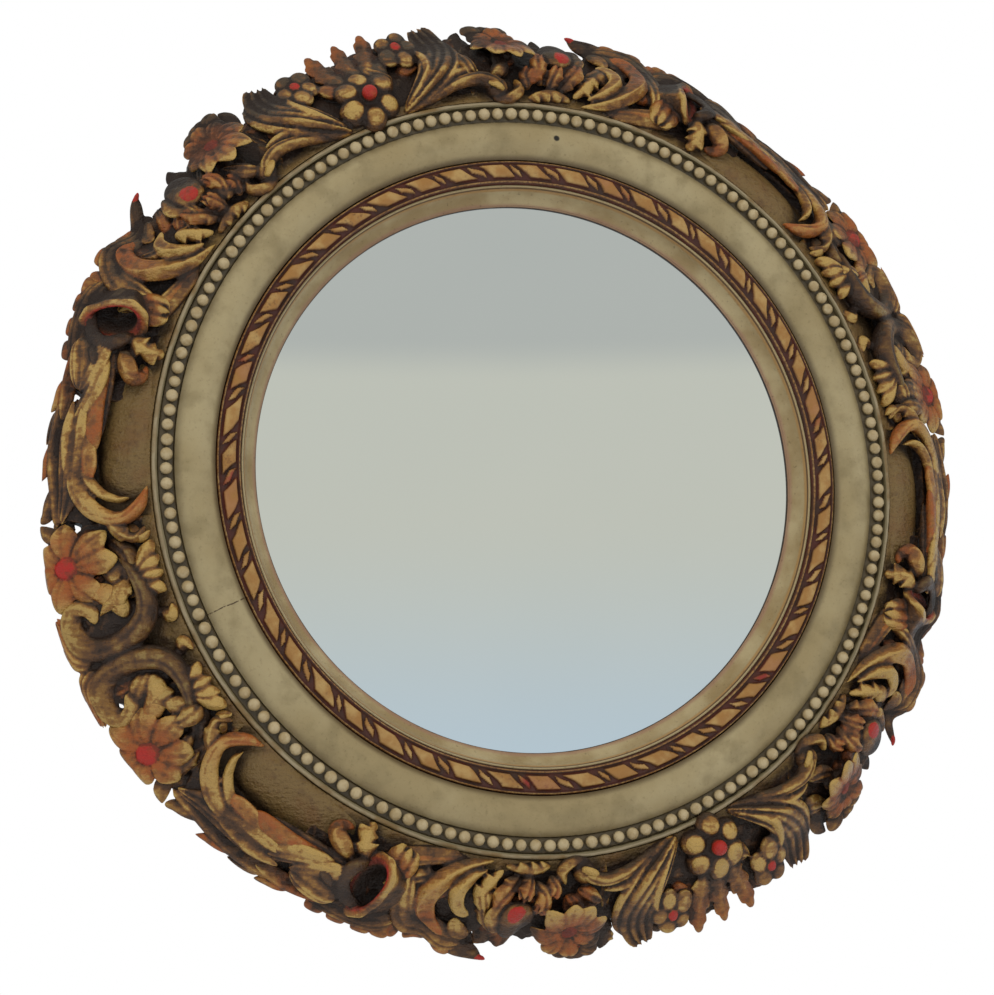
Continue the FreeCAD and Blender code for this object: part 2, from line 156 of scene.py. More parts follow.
def flatLength(a, b):
    return calc("SQRT", plus(times(a, a), times(b, b)))


def between(value, low, high, first=0.0, last=1.0):
    made = addNode("ShaderNodeMapRange", {"Value": value, "From Min": low, "From Max": high,
                                          "To Min": first, "To Max": last},
                   interpolation_type="SMOOTHSTEP")
    return made.outputs["Result"]


def below(value, low, high):
    return between(value, low, high, 1.0, 0.0)


def blend(factor, under, over):
    return addNode("ShaderNodeMix", {0: factor, 6: under, 7: over}, data_type="RGBA").outputs[2]


def speckle(scale, detail=3.0, stretch=None, rough=0.55):
    where = addNode("ShaderNodeTexCoord").outputs["Object"]
    if stretch:
        where = addNode("ShaderNodeMapping", {"Vector": where, "Scale": stretch}).outputs[0]
    return addNode("ShaderNodeTexNoise", {"Vector": where, "Scale": scale, "Detail": detail,
                                          "Roughness": rough}).outputs["Fac"]


def reading(name, output="Fac"):
    return addNode("ShaderNodeAttribute", attribute_name=name).outputs[output]


def colourParts(paint):
    return addNode("ShaderNodeSeparateColor", {0: paint}).outputs


def colour(red, green, blue):
    return (red, green, blue, 1.0)


def ringPosition():
    # radius and front of a point of the ring, in metres, and its x and z
    where = addNode("ShaderNodeTexCoord").outputs["Object"]
    x, y, z = addNode("ShaderNodeSeparateXYZ", {0: where}).outputs
    return flatLength(x, z), times(y, -1.0), x, z


# the ring: cream cushion band, bead seat, thin fillet and sloping ground
ringLook = {
    "cream": colour(0.30, 0.232, 0.111),
    "creamPale": colour(0.375, 0.306, 0.165),
    "creamGreen": colour(0.205, 0.158, 0.072),
    "seat": colour(0.17, 0.135, 0.068),
    # grime, and painted shade where the band meets the ribbon and the beads
    "grimeAndShade": colour(0.075, 0.048, 0.022),
    "fillet": colour(0.31, 0.25, 0.150),
    "ground": colour(0.185, 0.115, 0.040),
    "groundDark": colour(0.07, 0.042, 0.018),
    "bareWood": colour(0.26, 0.155, 0.075),
    "bareWoodDark": colour(0.13, 0.072, 0.034),
    "hole": colour(0.012, 0.009, 0.006),
    "crackTurn": 244.6,
    "holeTurn": 3.2,
    "holeRadius": 281.0,
    "stepsPerQuarter": 200,
    "crownRise": 6.4,  # of the cushion band
    "bandUneven": 0.32,
    "filletUneven": 0.55,
}


def ringMaterial():
    look = ringLook
    startMaterial("creamPaintedWood", 0.48)
    radius, front, x, z = ringPosition()
    blotch, streak, fine = speckle(9.0, 4.0), speckle(38.0, 5.0), speckle(420.0)
    cream = blend(between(blotch, 0.38, 0.66), look["cream"], look["creamPale"])
    cream = blend(times(between(streak, 0.44, 0.68), 0.6), cream, look["creamGreen"])
    cream = blend(times(between(fine, 0.56, 0.78), 0.25), cream, look["grimeAndShade"])
    # painted shade where the band meets the ribbon and, more faintly, the beads
    nearby = plus(radius, centred(streak, 0.004))
    grimeAndShade = calc("MAXIMUM", between(nearby, 0.2616, 0.2668, 0.8, 0.0),
                 between(nearby, 0.2862, 0.2940, 0.0, 0.42))
    cream = blend(grimeAndShade, cream, look["grimeAndShade"])
    # the butt joint of two quarters has opened across the band
    crack = math.radians(look["crackTurn"])
    sine, cosine = math.sin(crack), math.cos(crack)
    across = plus(minus(times(x, cosine), times(z, sine)), centred(streak, 0.003))
    along = plus(times(x, sine), times(z, cosine))
    line = times(below(calc("ABSOLUTE", across), 0.0002, 0.0007), calc("GREATER_THAN", along, 0.2))
    line = times(line, between(fine, 0.36, 0.52))
    cream = blend(line, cream, look["grimeAndShade"])
    # an old nail hole
    hole = spots(look["holeTurn"], look["holeRadius"], 0.0) * 0.001
    away = flatLength(minus(x, float(hole[0])), minus(z, float(hole[2])))
    cream = blend(below(away, 0.0018, 0.0032), cream, look["hole"])
    # bead seat, fillet, ground
    paint = blend(between(radius, 0.2932, 0.2938), cream, look["seat"])
    fillet = times(between(nearby, 0.3078, 0.3086), between(front, 0.0480, 0.0496))
    paint = blend(fillet, paint,
                  blend(between(streak, 0.42, 0.66), look["fillet"], look["ground"]))
    ground = times(between(radius, 0.3100, 0.3106), below(front, 0.0478, 0.0492))
    paint = blend(ground, paint,
                  blend(between(streak, 0.35, 0.7), look["ground"], look["groundDark"]))
    height = plus(times(fine, 0.4), minus(streak, times(line, 0.8)))
    return finishMaterial(paint, between(fine, 0.3, 0.8, 0.38, 0.62), height, 0.0012, 0.5)


def bareWoodMaterial():
    look = ringLook
    startMaterial("bareWood", 0.72)
    grain, fine = speckle(26.0, 5.0, (1.0, 1.0, 14.0), 0.6), speckle(300.0)
    paint = blend(between(grain, 0.35, 0.68), look["bareWood"], look["bareWoodDark"])
    paint = blend(times(between(fine, 0.5, 0.8), 0.3), paint, look["grimeAndShade"])
    return finishMaterial(paint, None, plus(grain, times(fine, 0.3)))


def waves(turn, radius, seedShift, size):
    # smooth handmade unevenness that closes on itself round the ring
    total = 0.0 * turn
    for count, part in ((5, 0.5), (11, 0.3), (23, 0.25), (47, 0.22), (83, 0.2), (131, 0.15)):
        total = total + part * np.sin(np.radians(turn * count) + seedShift * count * 1.7
                                      + radius * 0.05)
    return total * size


def arcPoints(start, end, bulge, count):
    # points of a rounded run from one (radius, front) to another, bulging by so much
    start, end = np.array(start, float), np.array(end, float)
    across = np.array([-(end - start)[1], (end - start)[0]]) / np.linalg.norm(end - start)
    part = np.linspace(0.0, 1.0, count)[:, None]
    return start + (end - start) * part + across * bulge * 4 * part * (1 - part)


def spunRing(name, outline, sweep, steps):
    # a closed (radius, front) outline spun about the middle of the mirror, from turn 0
    made = bmesh.new()
    verts = [made.verts.new(spots(0.0, r, f)) for r, f in outline]
    edges = [made.edges.new((verts[i - 1], verts[i])) for i in range(len(verts))]
    whole = sweep >= 359.9
    bmesh.ops.spin(made, geom=verts + edges, cent=(0, 0, 0), axis=(0, 1, 0),
                   angle=math.radians(sweep), steps=steps, use_merge=whole)
    if not whole:
        bmesh.ops.holes_fill(made, edges=[e for e in made.edges if e.is_boundary], sides=0)
    bmesh.ops.recalc_face_normals(made, faces=made.faces)
    return meshFrom(made, name)


def turnedCopy(template, name, turn, change=None):
    # change takes the arrays turn, radius and front of all points, and gives them back changed
    mesh = template.copy()
    mesh.name = name
    co = readRows(mesh.vertices, "co")
    turns = np.degrees(np.arctan2(co[:, 0], co[:, 2])) + turn
    radius, front = np.hypot(co[:, 0], co[:, 2]), -co[:, 1]
    if change:
        turns, radius, front = change(turns, radius, front)
    mesh.vertices.foreach_set("co", spots(turns, radius, front).ravel())
    mesh.update()
    return mesh


def ringQuarters():
    look = ringLook
    crown = arcPoints((293.4, 48.4), (261.6, 46.9), -look["crownRise"], 26)
    slope = arcPoints((359.2, 13.2), (311.4, 45.4), -0.4, 12)
    outline = [(262.0, 5.0), (359.0, 5.0), (360.0, 6.0), (360.0, 12.0), *slope,
               (310.9, 46.6), (310.9, 48.6), (310.5, 49.7), (309.6, 50.4), (308.2, 50.5),
               (307.2, 50.2), (306.7, 49.2), (306.6, 44.9), (306.0, 44.5), (294.0, 44.5),
               (293.5, 44.9), *crown, (261.6, 43.0), (241.0, 43.0), (241.0, 27.0),
               (238.5, 27.0), (238.5, 15.0), (262.0, 15.0)]

    def uneven(turn, radius, front):
        band = np.clip((radius - 262.5) / 4, 0, 1) * np.clip((292.5 - radius) / 4, 0, 1)
        band = band * (front > 45.5)
        fillet = ((radius > 306.9) & (radius < 310.8) & (front > 48.9)).astype(float)
        newFront = (front + band * waves(turn, radius, 0.3, look["bandUneven"])
                    + fillet * waves(turn, radius, 1.1, look["filletUneven"]))
        return turn, radius + fillet * waves(turn, 0, 2.3, 0.45), newFront

    front, back = ringMaterial(), bareWoodMaterial()
    template = spunRing("ringTemplate", outline, 90.0, look["stepsPerQuarter"])
    for face in template.polygons:
        centre = face.center
        hidden = -centre.y < 11.9 or math.hypot(centre.x, centre.z) < 261.0
        face.material_index = 1 if hidden else 0
    for index in range(4):
        mesh = turnedCopy(template, f"creamRing{index + 1}", ring["patternTurn"] + 90.0 * index,
                          uneven)
        showPiece(f"creamRing{index + 1}", mesh, [front, back], f"ring_quarter_{index + 1}",
                  40)
    bpy.data.meshes.remove(template)
    print("ring made")


ringQuarters()

beadLook = {
    "count": 163,
    "radius": 5.2,
    "front": 50.0,
    "seatFront": 44.5,
    "seatThick": 2.2,
    "pale": colour(0.47, 0.375, 0.215),
    "warm": colour(0.36, 0.265, 0.130),
    # brown glaze at the bead feet, and painted shade between the beads
    "glazeAndShade": colour(0.105, 0.076, 0.036),
    # painted shadow round the foot of each bead
    "footShadow": colour(0.03, 0.018, 0.009),
}


def beadMaterial():
    look = beadLook
    startMaterial("beadCream", 0.42)
    radius, front, x, z = ringPosition()
    patch, fine = speckle(140.0), speckle(700.0, 2.0)
    paint = blend(between(patch, 0.4, 0.68), look["pale"], look["warm"])
    paint = blend(times(between(fine, 0.55, 0.75), 0.5), paint, look["warm"])
    # darker behind the front of each bead and on the seat between the beads: brown glaze at the
    # feet and painted shade between the beads
    paint = blend(below(plus(front, times(patch, 0.002)), 0.0500, 0.0538), paint, look["glazeAndShade"])
    # painted shadow: a dark ring round the foot of each bead, just above the seat
    footShadow = times(between(front, 0.0466, 0.0470), below(front, 0.0476, 0.0492))
    paint = blend(times(footShadow, 0.8), paint, look["footShadow"])
    return finishMaterial(paint, None, plus(patch, fine), 0.0006, 0.6)


def beadStrips():
    look = beadLook
    material = beadMaterial()
    pitch = 360.0 / look["count"]
    seatInner, seatOuter = ring["bandOuter"] + 0.3, ring["beadSeatOuter"] - 0.3
    low, high = look["seatFront"], look["seatFront"] + look["seatThick"]
    first = 0
    for quarter in range(4):
        last = round(look["count"] * (quarter + 1) / 4)
        seat = spunRing("seat", [(seatInner, low), (seatOuter, low), (seatOuter, high - 0.5),
                                 (seatOuter - 0.8, high), (seatInner + 0.8, high),
                                 (seatInner, high - 0.5)], (last - first) * pitch, 80)
        turnedSeat = turnedCopy(seat, "turnedSeat", ring["patternTurn"] + first * pitch)
        made = bmesh.new()
        made.from_mesh(turnedSeat)
        for n in range(first, last):
            turn = ring["patternTurn"] + (n + 0.5) * pitch + random.uniform(-0.07, 0.07)
            size = look["radius"] * random.uniform(0.92, 1.0)
            place = spots(turn, ring["beadRow"] + random.uniform(-0.25, 0.25), look["front"])
            shape = Matrix.Diagonal((size * random.uniform(0.96, 1.06), size, size, 1.0))
            bmesh.ops.create_icosphere(made, subdivisions=2, radius=1.0,
                                       matrix=Matrix.Translation(place)
                                       @ Matrix.Rotation(math.radians(turn), 4, "Y") @ shape)
        first = last
        bpy.data.meshes.remove(seat)
        bpy.data.meshes.remove(turnedSeat)
        name = f"beads{quarter + 1}"
        showPiece(name, meshFrom(made, name), [material], f"bead_strip_{quarter + 1}")
    print("beads made")


beadStrips()

ribbonLook = {
    "twistsPerQuarter": 12,
    "floor": 43.0,
    "crown": 6.4,
    "slant": 2.7,  # degrees of turn from the middle to an edge
    "gold": colour(0.33, 0.160, 0.040),
    "goldPale": colour(0.44, 0.275, 0.095),
    "brown": colour(0.085, 0.030, 0.013),
    "red": colour(0.25, 0.026, 0.016),
    # patina and painted shade in the cuts, and painted shade along the feet
    "dark": colour(0.022, 0.010, 0.006),
    "redTurns": (5, 13, 20, 27, 38, 41),
}


def ribbonMaterial():
    look = ribbonLook
    startMaterial("giltRibbon", 0.42, 0.12)
    goldPart, redPart, darkPart = colourParts(reading("tone", "Color"))
    patch, fine = speckle(60.0, 4.0), speckle(420.0)
    gold = blend(between(patch, 0.4, 0.66), look["gold"], look["goldPale"])
    rubbed = plus(goldPart, centred(fine, 0.9))
    paint = blend(between(rubbed, 0.25, 0.7), look["brown"], gold)
    paint = blend(times(redPart, between(patch, 0.35, 0.6)), paint, look["red"])
    # darkPart is patina and painted shade in the cuts, and painted shade along the ribbon's feet
    paint = blend(darkPart, paint, look["dark"])
    return finishMaterial(paint, between(fine, 0.3, 0.8, 0.34, 0.6), plus(fine, patch), 0.0006, 0.6)


def softStep(value, low, high):
    part = np.clip((value - low) / (high - low), 0, 1)
    return part * part * (3 - 2 * part)


def twistPattern(turn, across):
    # heights and colours of the ribbon: long gold lozenges and small ones, with dark cuts between,
    # the dark partly patina and partly painted shade
    look = ribbonLook
    pitch = 90.0 / look["twistsPerQuarter"]
    phase = (turn - ring["patternTurn"] + look["slant"] * across) / pitch
    phase = phase + 0.05 * np.sin(turn * 0.37) + 0.03 * np.sin(turn * 1.31)
    count, part = np.floor(phase), phase % 1.0
    width = np.abs(across)
    wide = softStep(part, 0.0, 0.045) * (1 - softStep(part, 0.585, 0.63))
    wide = wide * (1 - softStep(width, 0.47, 0.57))
    narrow = 1 - softStep(np.abs(part - 0.815) / 0.12 + width / 0.56, 0.85, 1.05)
    edgeLine = softStep(width, 0.73, 0.77) * (1 - softStep(width, 0.87, 0.92))
    cut = 1 - np.clip(wide + narrow + edgeLine, 0, 1)
    index = (count % (4 * look["twistsPerQuarter"])).astype(int)
    reds = np.isin(index, look["redTurns"]).astype(float)
    return wide, narrow, edgeLine, cut, index, reds


def ribbonStrips():
    look = ribbonLook
    material = ribbonMaterial()
    middle = (ring["slipOuter"] + ring["ribbonOuter"]) / 2
    half = (ring["ribbonOuter"] - ring["slipOuter"]) / 2
    outline = [(middle + (half - 0.05) * math.cos(a),
                look["floor"] + 0.05 + look["crown"] * math.sin(a) ** 0.8)
               for a in np.linspace(math.pi, 0.0, 39)]
    template = spunRing("ribbonTemplate", outline, 90.0, 460)
    painted = {}

    def twisted(turn, radius, front):
        across = (radius - middle) / half
        wide, narrow, edgeLine, cut, index, reds = twistPattern(turn, across)
        top = softStep(front, look["floor"] + 0.3, look["floor"] + 1.4)
        inner = 1 - 0.55 * np.clip(across / 0.7, -1, 1) ** 2
        lift = wide * 2.1 * inner + narrow * 1.4 - cut * 1.5 + edgeLine * 0.6
        lift = lift + waves(turn, radius, 0.9, 0.2)
        shade = np.random.RandomState(5).uniform(0.0, 0.35, 200)[index % 200]
        painted["gold"] = np.clip(wide * (1 - shade) + narrow + edgeLine * 0.5, 0, 1)
        painted["red"] = np.clip(reds * (narrow + 0.4 * wide) + 0.45 * cut, 0, 1)
        # dark: patina and painted shade in the cuts, and painted shade along the feet where the
        # ribbon meets the band and the slip
        painted["dark"] = np.clip(cut * 0.62 + (1 - top) * 0.8, 0, 1)
        return turn, radius, front + top * lift

    for quarter in range(4):
        name = f"ribbon{quarter + 1}"
        mesh = turnedCopy(template, name, ring["patternTurn"] + 90.0 * quarter, twisted)
        tone = np.stack([*painted.values(), np.ones(len(mesh.vertices))], axis=1)
        layer = mesh.attributes.new("tone", "FLOAT_COLOR", "POINT")
        layer.data.foreach_set("color", tone.astype(np.float32).ravel())
        showPiece(name, mesh, [material], f"ribbon_strip_{quarter + 1}")
    bpy.data.meshes.remove(template)
    print("ribbon made")


ribbonStrips()

slipLook = {
    "cream": colour(0.29, 0.205, 0.088),
    "creamPale": colour(0.42, 0.335, 0.178),
    "gilt": colour(0.36, 0.20, 0.06),
    # dark: fine dirt, and painted shade in the lip's step and at the sight edge
    "line": colour(0.03, 0.016, 0.008),
    "pink": colour(0.30, 0.16, 0.10),
}


def slipMaterial():
    look = slipLook
    startMaterial("slipCreamGilt", 0.4)
    radius, front, x, z = ringPosition()
    patch, fine = speckle(22.0, 4.0), speckle(380.0)
    where = plus(front, centred(patch, 0.0024))
    paint = blend(between(patch, 0.36, 0.66), look["cream"], look["creamPale"])
    paint = blend(times(between(where, 0.0372, 0.0392), 0.85), paint, look["gilt"])
    # painted highlight: pale along the crest of the lip
    paint = blend(between(front, 0.0428, 0.0433), paint, look["creamPale"])
    # painted shade in the corner at the foot of the lip's step
    groove = times(between(front, 0.0404, 0.0411), below(front, 0.0420, 0.0426))
    paint = blend(times(groove, 0.8), paint, look["line"])
    paint = blend(times(below(where, 0.0278, 0.0296), 0.7), paint, look["pink"])
    # painted shade: a dark band along the sight edge, where the slip meets the glass
    paint = blend(below(front, 0.0264, 0.0268), paint, look["line"])
    paint = blend(times(between(fine, 0.6, 0.78), 0.45), paint, look["line"])
    return finishMaterial(paint, between(fine, 0.3, 0.8, 0.32, 0.55), plus(fine, patch),
                          0.0006, 0.5)


def sightSlip():
    cove = arcPoints((228.6, 28.0), (238.2, 40.3), -1.6, 14)
    outline = [(238.4, 25.05), (238.4, 27.0), (240.95, 27.0), (240.95, 43.2), (240.6, 43.55),
               (239.6, 43.55), (239.3, 43.1), (239.2, 41.4), (238.7, 40.9), *reversed(cove),
               (228.5, 27.2), (228.1, 26.8), (227.4, 26.6), (227.0, 26.1), (227.0, 25.05)]
    template = spunRing("slipTemplate", outline, 360.0, 360)
    mesh = turnedCopy(template, "sightSlip", 0.0, lambda turn, radius, front:
                      (turn, radius + waves(turn, 0, 0.7, 0.18) * (radius < 238) * (front > 26.2),
                       front))
    bpy.data.meshes.remove(template)
    showPiece("sightSlip", mesh, [slipMaterial()], "sight_slip", 50)
    print("slip made")


sightSlip()


# the carved border
carving = {
    "voxel": 1.22,
    "bigVoxel": 1.34,  # for the two bouquets and the volutes
    "edge": 62.0,  # mean reach of the wood under the forms
    "leanBack": 0.6,  # share of the depth lost at the outer edge
    # turn, width in degrees and depth of the notches between the stretches
    "notches": ((30.6, 1.5, 20), (15.4, 1.0, 15), (44.2, 1.3, 17), (58.4, 1.2, 10),
                (74.0, 0.9, 12)),
    "rim": 391.2,  # no tip reaches past this radius, before the outline's own swells
    # the outline is not a true circle: turn, width in degrees, and millimetres out or in
    "swells": ((243, 20, 9), (151, 16, 9), (341, 11, 8), (318, 6, 6), (34, 10, -9), (98, 8, -7),
               (277, 7, -5), (63, 6, -4), (109.5, 2.4, -12), (121, 1.5, -11), (299, 2.4, -12),
               (181.5, 1.5, -11), (194, 2.0, -9)),
    "swellRadii": (343.0, 385.0),  # from none to all of it
    "rimBend": 7.0,
    "farthest": 390.3,  # to either side, up or down
    "leanRadii": (338.0, 384.0),
    "slope": 34.76,  # lean of the ground, in degrees
    "backLimit": 7.2,  # nothing behind this front, or before the other
    "frontLimit": 73.6,
    "soften": 2,
}
groundSlant = math.tan(math.radians(carving["slope"]))
# how much red, gold and dark each colour of the carver's palette has, and bare ground
tints = {
    "gold": (0.0, 1.0, 0.0, 0.0),
    "bronze": (0.05, 0.6, 0.0, 0.0),
    "brown": (0.03, 0.25, 0.2, 0.0),
    "dark": (0.0, 0.05, 0.8, 0.0),
    "orange": (0.42, 0.85, 0.0, 0.0),
    "rust": (0.4, 0.35, 0.1, 0.0),
    "red": (1.0, 0.1, 0.0, 0.0),
    "ember": (0.62, 0.6, 0.0, 0.0),
    "ground": (0.0, 0.2, 0.2, 1.0),
}


def place(turn, reach, lift):
    # a spot on the border: reach outwards from the fillet, lift towards the front
    return spots(turn, ring["groundInner"] + reach, ring["groundFront"] + lift)


def places(points):
    return np.array([place(*p) for p in points])


def groundUp(turn):
    lean = math.radians(carving["slope"])
    return spots(turn, math.sin(lean), math.cos(lean))


def smoothRun(values, parts):
    # a smooth run through the values, read at parts from 0 to 1
    values = np.array(values, float)
    if values.ndim == 1:
        values = values[:, None]
    if len(values) == 2:
        return values[0] + (values[1] - values[0]) * parts[:, None]
    padded = np.vstack([2 * values[0] - values[1], values, 2 * values[-1] - values[-2]])
    where = np.clip(parts, 0, 1) * (len(values) - 1)
    index = np.minimum(where.astype(int), len(values) - 2)
    f = (where - index)[:, None]
    a, b, c, d = (padded[index + k] for k in range(4))
    return 0.5 * (2 * b + (c - a) * f + (2 * a - 5 * b + 4 * c - d) * f ** 2
                  + (3 * b - a - 3 * c + d) * f ** 3)


def unitRows(rows):
    return rows / np.maximum(np.linalg.norm(rows, axis=1, keepdims=True), 1e-9)


balls = {}


def templateBall(around, along):
    # a ball of rings of points, kept for reuse, with the places of its points and how far
    # along from one pole to the other each one is
    if (around, along) not in balls:
        made = bmesh.new()
        bmesh.ops.create_uvsphere(made, u_segments=around, v_segments=along, radius=1.0)
        mesh = meshFrom(made, "ballTemplate")
        mesh.attributes.new("tint", "FLOAT_COLOR", "POINT")
        unit = readRows(mesh.vertices, "co")
        part = 0.5 + np.arcsin(np.clip(unit[:, 2], -1, 1)) / math.pi
        flat = np.maximum(np.hypot(unit[:, 0], unit[:, 1]), 1e-6)
        balls[(around, along)] = (mesh, unit, part, unit[:, 0] / flat, unit[:, 1] / flat)
    return balls[(around, along)]


def addForm(made, template, co, tint):
    # puts a shaped and tinted copy of the template into the carving
    template.vertices.foreach_set("co", np.ascontiguousarray(co).ravel())
    tint = np.broadcast_to(tint, (len(co), 4)).astype(np.float32)
    template.attributes["tint"].data.foreach_set("color", tint.ravel())
    made.from_mesh(template)


def bentForm(made, line, widths, heights, tint, tipTint=None, up=None, around=24, along=26,
             strands=0, cut=1.6, crest=0.0, groove=0.0, ragged=0.0, teeth=0, toothDepth=0.25,
             cup=0.0, lean=0.0, blunt=6):
    # a ball drawn out along a line of points, with half widths and half heights along it.
    # strands are separated by cuts and may end in ragged tips, a crest is a sharp ridge, a
    # groove runs down the middle, teeth notch the edges, and a cup lifts them
    if strands:
        around = max(around, 12 * strands)
    template, unit, part, across, rise = templateBall(around, along)
    cap = np.sqrt(np.clip(1 - np.abs(2 * part - 1) ** blunt, 0, 1))
    strand = np.abs(np.sin(math.pi * max(strands, 1) * (across + 1) / 2)) ** 0.7
    reached = part * (1 - ragged * (1 - strand) * part ** 3)
    centre = smoothRun(line, reached)
    tangent = unitRows(smoothRun(line, np.minimum(part + 0.02, 1))
                       - smoothRun(line, np.maximum(part - 0.02, 0)))
    middle = np.mean(line, axis=0)
    if up is None:
        up = groundUp(math.degrees(math.atan2(middle[0], middle[2])))
    side = unitRows(np.cross(tangent, up))
    lift = np.cross(side, tangent)
    if lean:
        angle = math.radians(lean)
        side, lift = (side * math.cos(angle) + lift * math.sin(angle),
                      lift * math.cos(angle) - side * math.sin(angle))
    width = smoothRun(widths, part)[:, 0] * cap
    height = smoothRun(heights, part)[:, 0] * cap
    if teeth:
        width = width * (1 + toothDepth * ((part * teeth) % 1.0 - 0.5) * np.abs(across))
    top = (rise > 0) * np.minimum(1.0, np.abs(rise) * 3)
    profile = rise * (1 - crest * top) + crest * top * (1 - np.abs(across))
    bulge = height * profile + cup * across ** 2 * cap
    if strands:
        bulge = bulge + top * cut * (strand - 0.75) * np.minimum(1, width / 5)
    bulge = bulge - top * groove * np.exp(-(across / 0.2) ** 2) * cap
    first, last = np.array(tints[tint]), np.array(tints[tipTint or tint])
    addForm(made, template, centre + side * (width * across)[:, None] + lift * bulge[:, None],
            first + (last - first) * part[:, None])


def leaf(made, points, widths, heights, tint, tipTint=None, **more):
    bentForm(made, places(points), widths, heights, tint, tipTint, **more)


def ball(made, centre, radius, tint):
    template, unit, part, across, rise = templateBall(24, 16)
    addForm(made, template, np.array(centre) + unit * radius, tints[tint])


def flower(made, spot, petals, reachOut, halfWidth, heart, tint, rootTint, first=0.0, tilt=0.0,
           cup=-1.5, raised=0.25, groove=1.2, thick=3.0, uneven=0.12, sunk=0.75):
    # petals round a ball heart, on an axis square to the ground or tilted outwards from it
    centre = place(*spot)
    axis = toUnit(groundUp(spot[0]) + spots(spot[0], 1.0, 0.0) * tilt)
    sideways = spots(spot[0] + 90.0, 1.0, 0.0)
    upwards = np.cross(axis, sideways)
    for index in range(petals):
        angle = math.radians(first + 360.0 / petals * (index + random.uniform(-0.12, 0.12)))
        out = sideways * math.cos(angle) + upwards * math.sin(angle)
        length = reachOut * random.uniform(1 - uneven, 1 + uneven)
        low = random.uniform(-0.05, 0.12)
        line = [centre + out * heart * 0.4, centre + out * length * 0.4 + axis * length * raised,
                centre + out * length * 0.75 + axis * length * raised * 0.9,
                centre + out * length + axis * length * (raised * 0.3 - low)]
        widths = halfWidth * np.array([0.4, 0.8, 1.0, 0.45])
        bentForm(made, np.array(line), widths, [thick, thick, thick * 0.9, thick * 0.7], rootTint,
                 tint, up=axis, cup=cup, groove=groove, lean=random.uniform(-9, 9), along=18,
                 blunt=4)
    ball(made, centre + axis * heart * sunk, heart, "red")
    # a dark ball behind the petal roots: painted shade in the gaps between the petals
    ball(made, centre - axis * 3, heart * 1.5, "dark")


def flattened(made, centre, out, axis, size, depth, tint):
    template, unit, part, across, rise = templateBall(24, 16)
    side = np.cross(out, axis)
    shape = unit[:, :1] * out * size * 1.06 + unit[:, 1:2] * side * size
    shape = shape + unit[:, 2:] * axis * depth
    addForm(made, template, centre + shape, tints[tint])


def cupFlower(made, spot, petals, reachOut, size, heart, first, tilt, lean=0.45):
    # separate rounded petals, dark outside with a gilded face, round a red heart
    centre = place(*spot)
    axis = groundUp(spot[0]) * 0.5 + np.array((0.0, -0.7, 0.0)) + spots(spot[0], 1.0, 0.0) * tilt
    axis = toUnit(axis)
    sideways = toUnit(spots(spot[0] + 90.0, 1.0, 0.0))
    upwards = np.cross(axis, sideways)
    for index in range(petals):
        angle = math.radians(first + 360.0 / petals * (index + random.uniform(-0.07, 0.07)))
        out = sideways * math.cos(angle) + upwards * math.sin(angle)
        face = toUnit(axis + out * lean * random.uniform(0.6, 1.2))
        out = toUnit(out - face * out.dot(face))
        grown = size * random.uniform(0.92, 1.08)
        middle = centre + out * reachOut * random.uniform(0.95, 1.08)
        flattened(made, middle, out, face, grown, grown * 0.78, "brown")
        flattened(made, middle + face * grown * 0.5 - out * 0.8, out, face, grown * 0.70,
            grown * 0.36, "gold" if index % 2 else "bronze")
    ball(made, centre + axis * heart * 0.9, heart, "red")
    # a dark ball behind the petals: painted shade in the gaps between them
    ball(made, centre - axis * size * 1.1, reachOut * 0.8, "dark")
    ball(made, centre, size * 0.6, "brown")


def rootSlab(made, first, last, panel=False):
    # the wood that the carver left under the forms, made first: it rises between the beads
    # and the outer edge, apart from beside the panel
    first, last = first - 0.35, last + 0.35  # over the neighbours' edges: no light between
    verts = bmesh.ops.create_cube(made, size=1.0)["verts"]
    edges = list({e for v in verts for e in v.link_edges})
    bmesh.ops.subdivide_edges(made, edges=edges, cuts=26, use_grid_fill=True)
    layer = made.verts.layers.float_color["tint"]
    reaches = (0, 8, 38, 44, 54, 64, 74) if panel else (0, 6, 14, 34, 48, 62, 74)
    lifts = (2.6, 3.0, 3.4, 17, 20, 16, 6) if panel else (2.6, 3.4, 6, 15, 20, 17, 6)
    for vert in made.verts:
        x, y, z = vert.co
        turn = first + (x + 0.5) * (last - first)
        edge = carving["edge"] + 2.6 * math.sin(turn * 1.7) + 1.8 * math.sin(turn * 3.9 + 1)
        edge -= sum(deep * math.exp(-((abs(turn) - at) / wide) ** 2)
                    for at, wide, deep in carving["notches"])
        reach = 0.6 + (y + 0.5) * (edge - 0.6)
        ground = -groundSlant * min(reach, 49.0)
        wave = math.sin(x * 19 + y * 7) + math.sin(y * 23 - x * 31) + math.sin(x * 47 + y * 29)
        mass = float(np.interp(reach, reaches, lifts))
        lift = ground + (mass + wave * 0.25 * min(mass, 6) / 3 if z > 0 else -6.0)
        vert.co = place(turn, reach, lift)
        vert[layer] = tints["ground" if mass < 4.5 else "brown"]


def beginCarving():
    made = bmesh.new()
    made.verts.layers.float_color.new("tint")
    return made


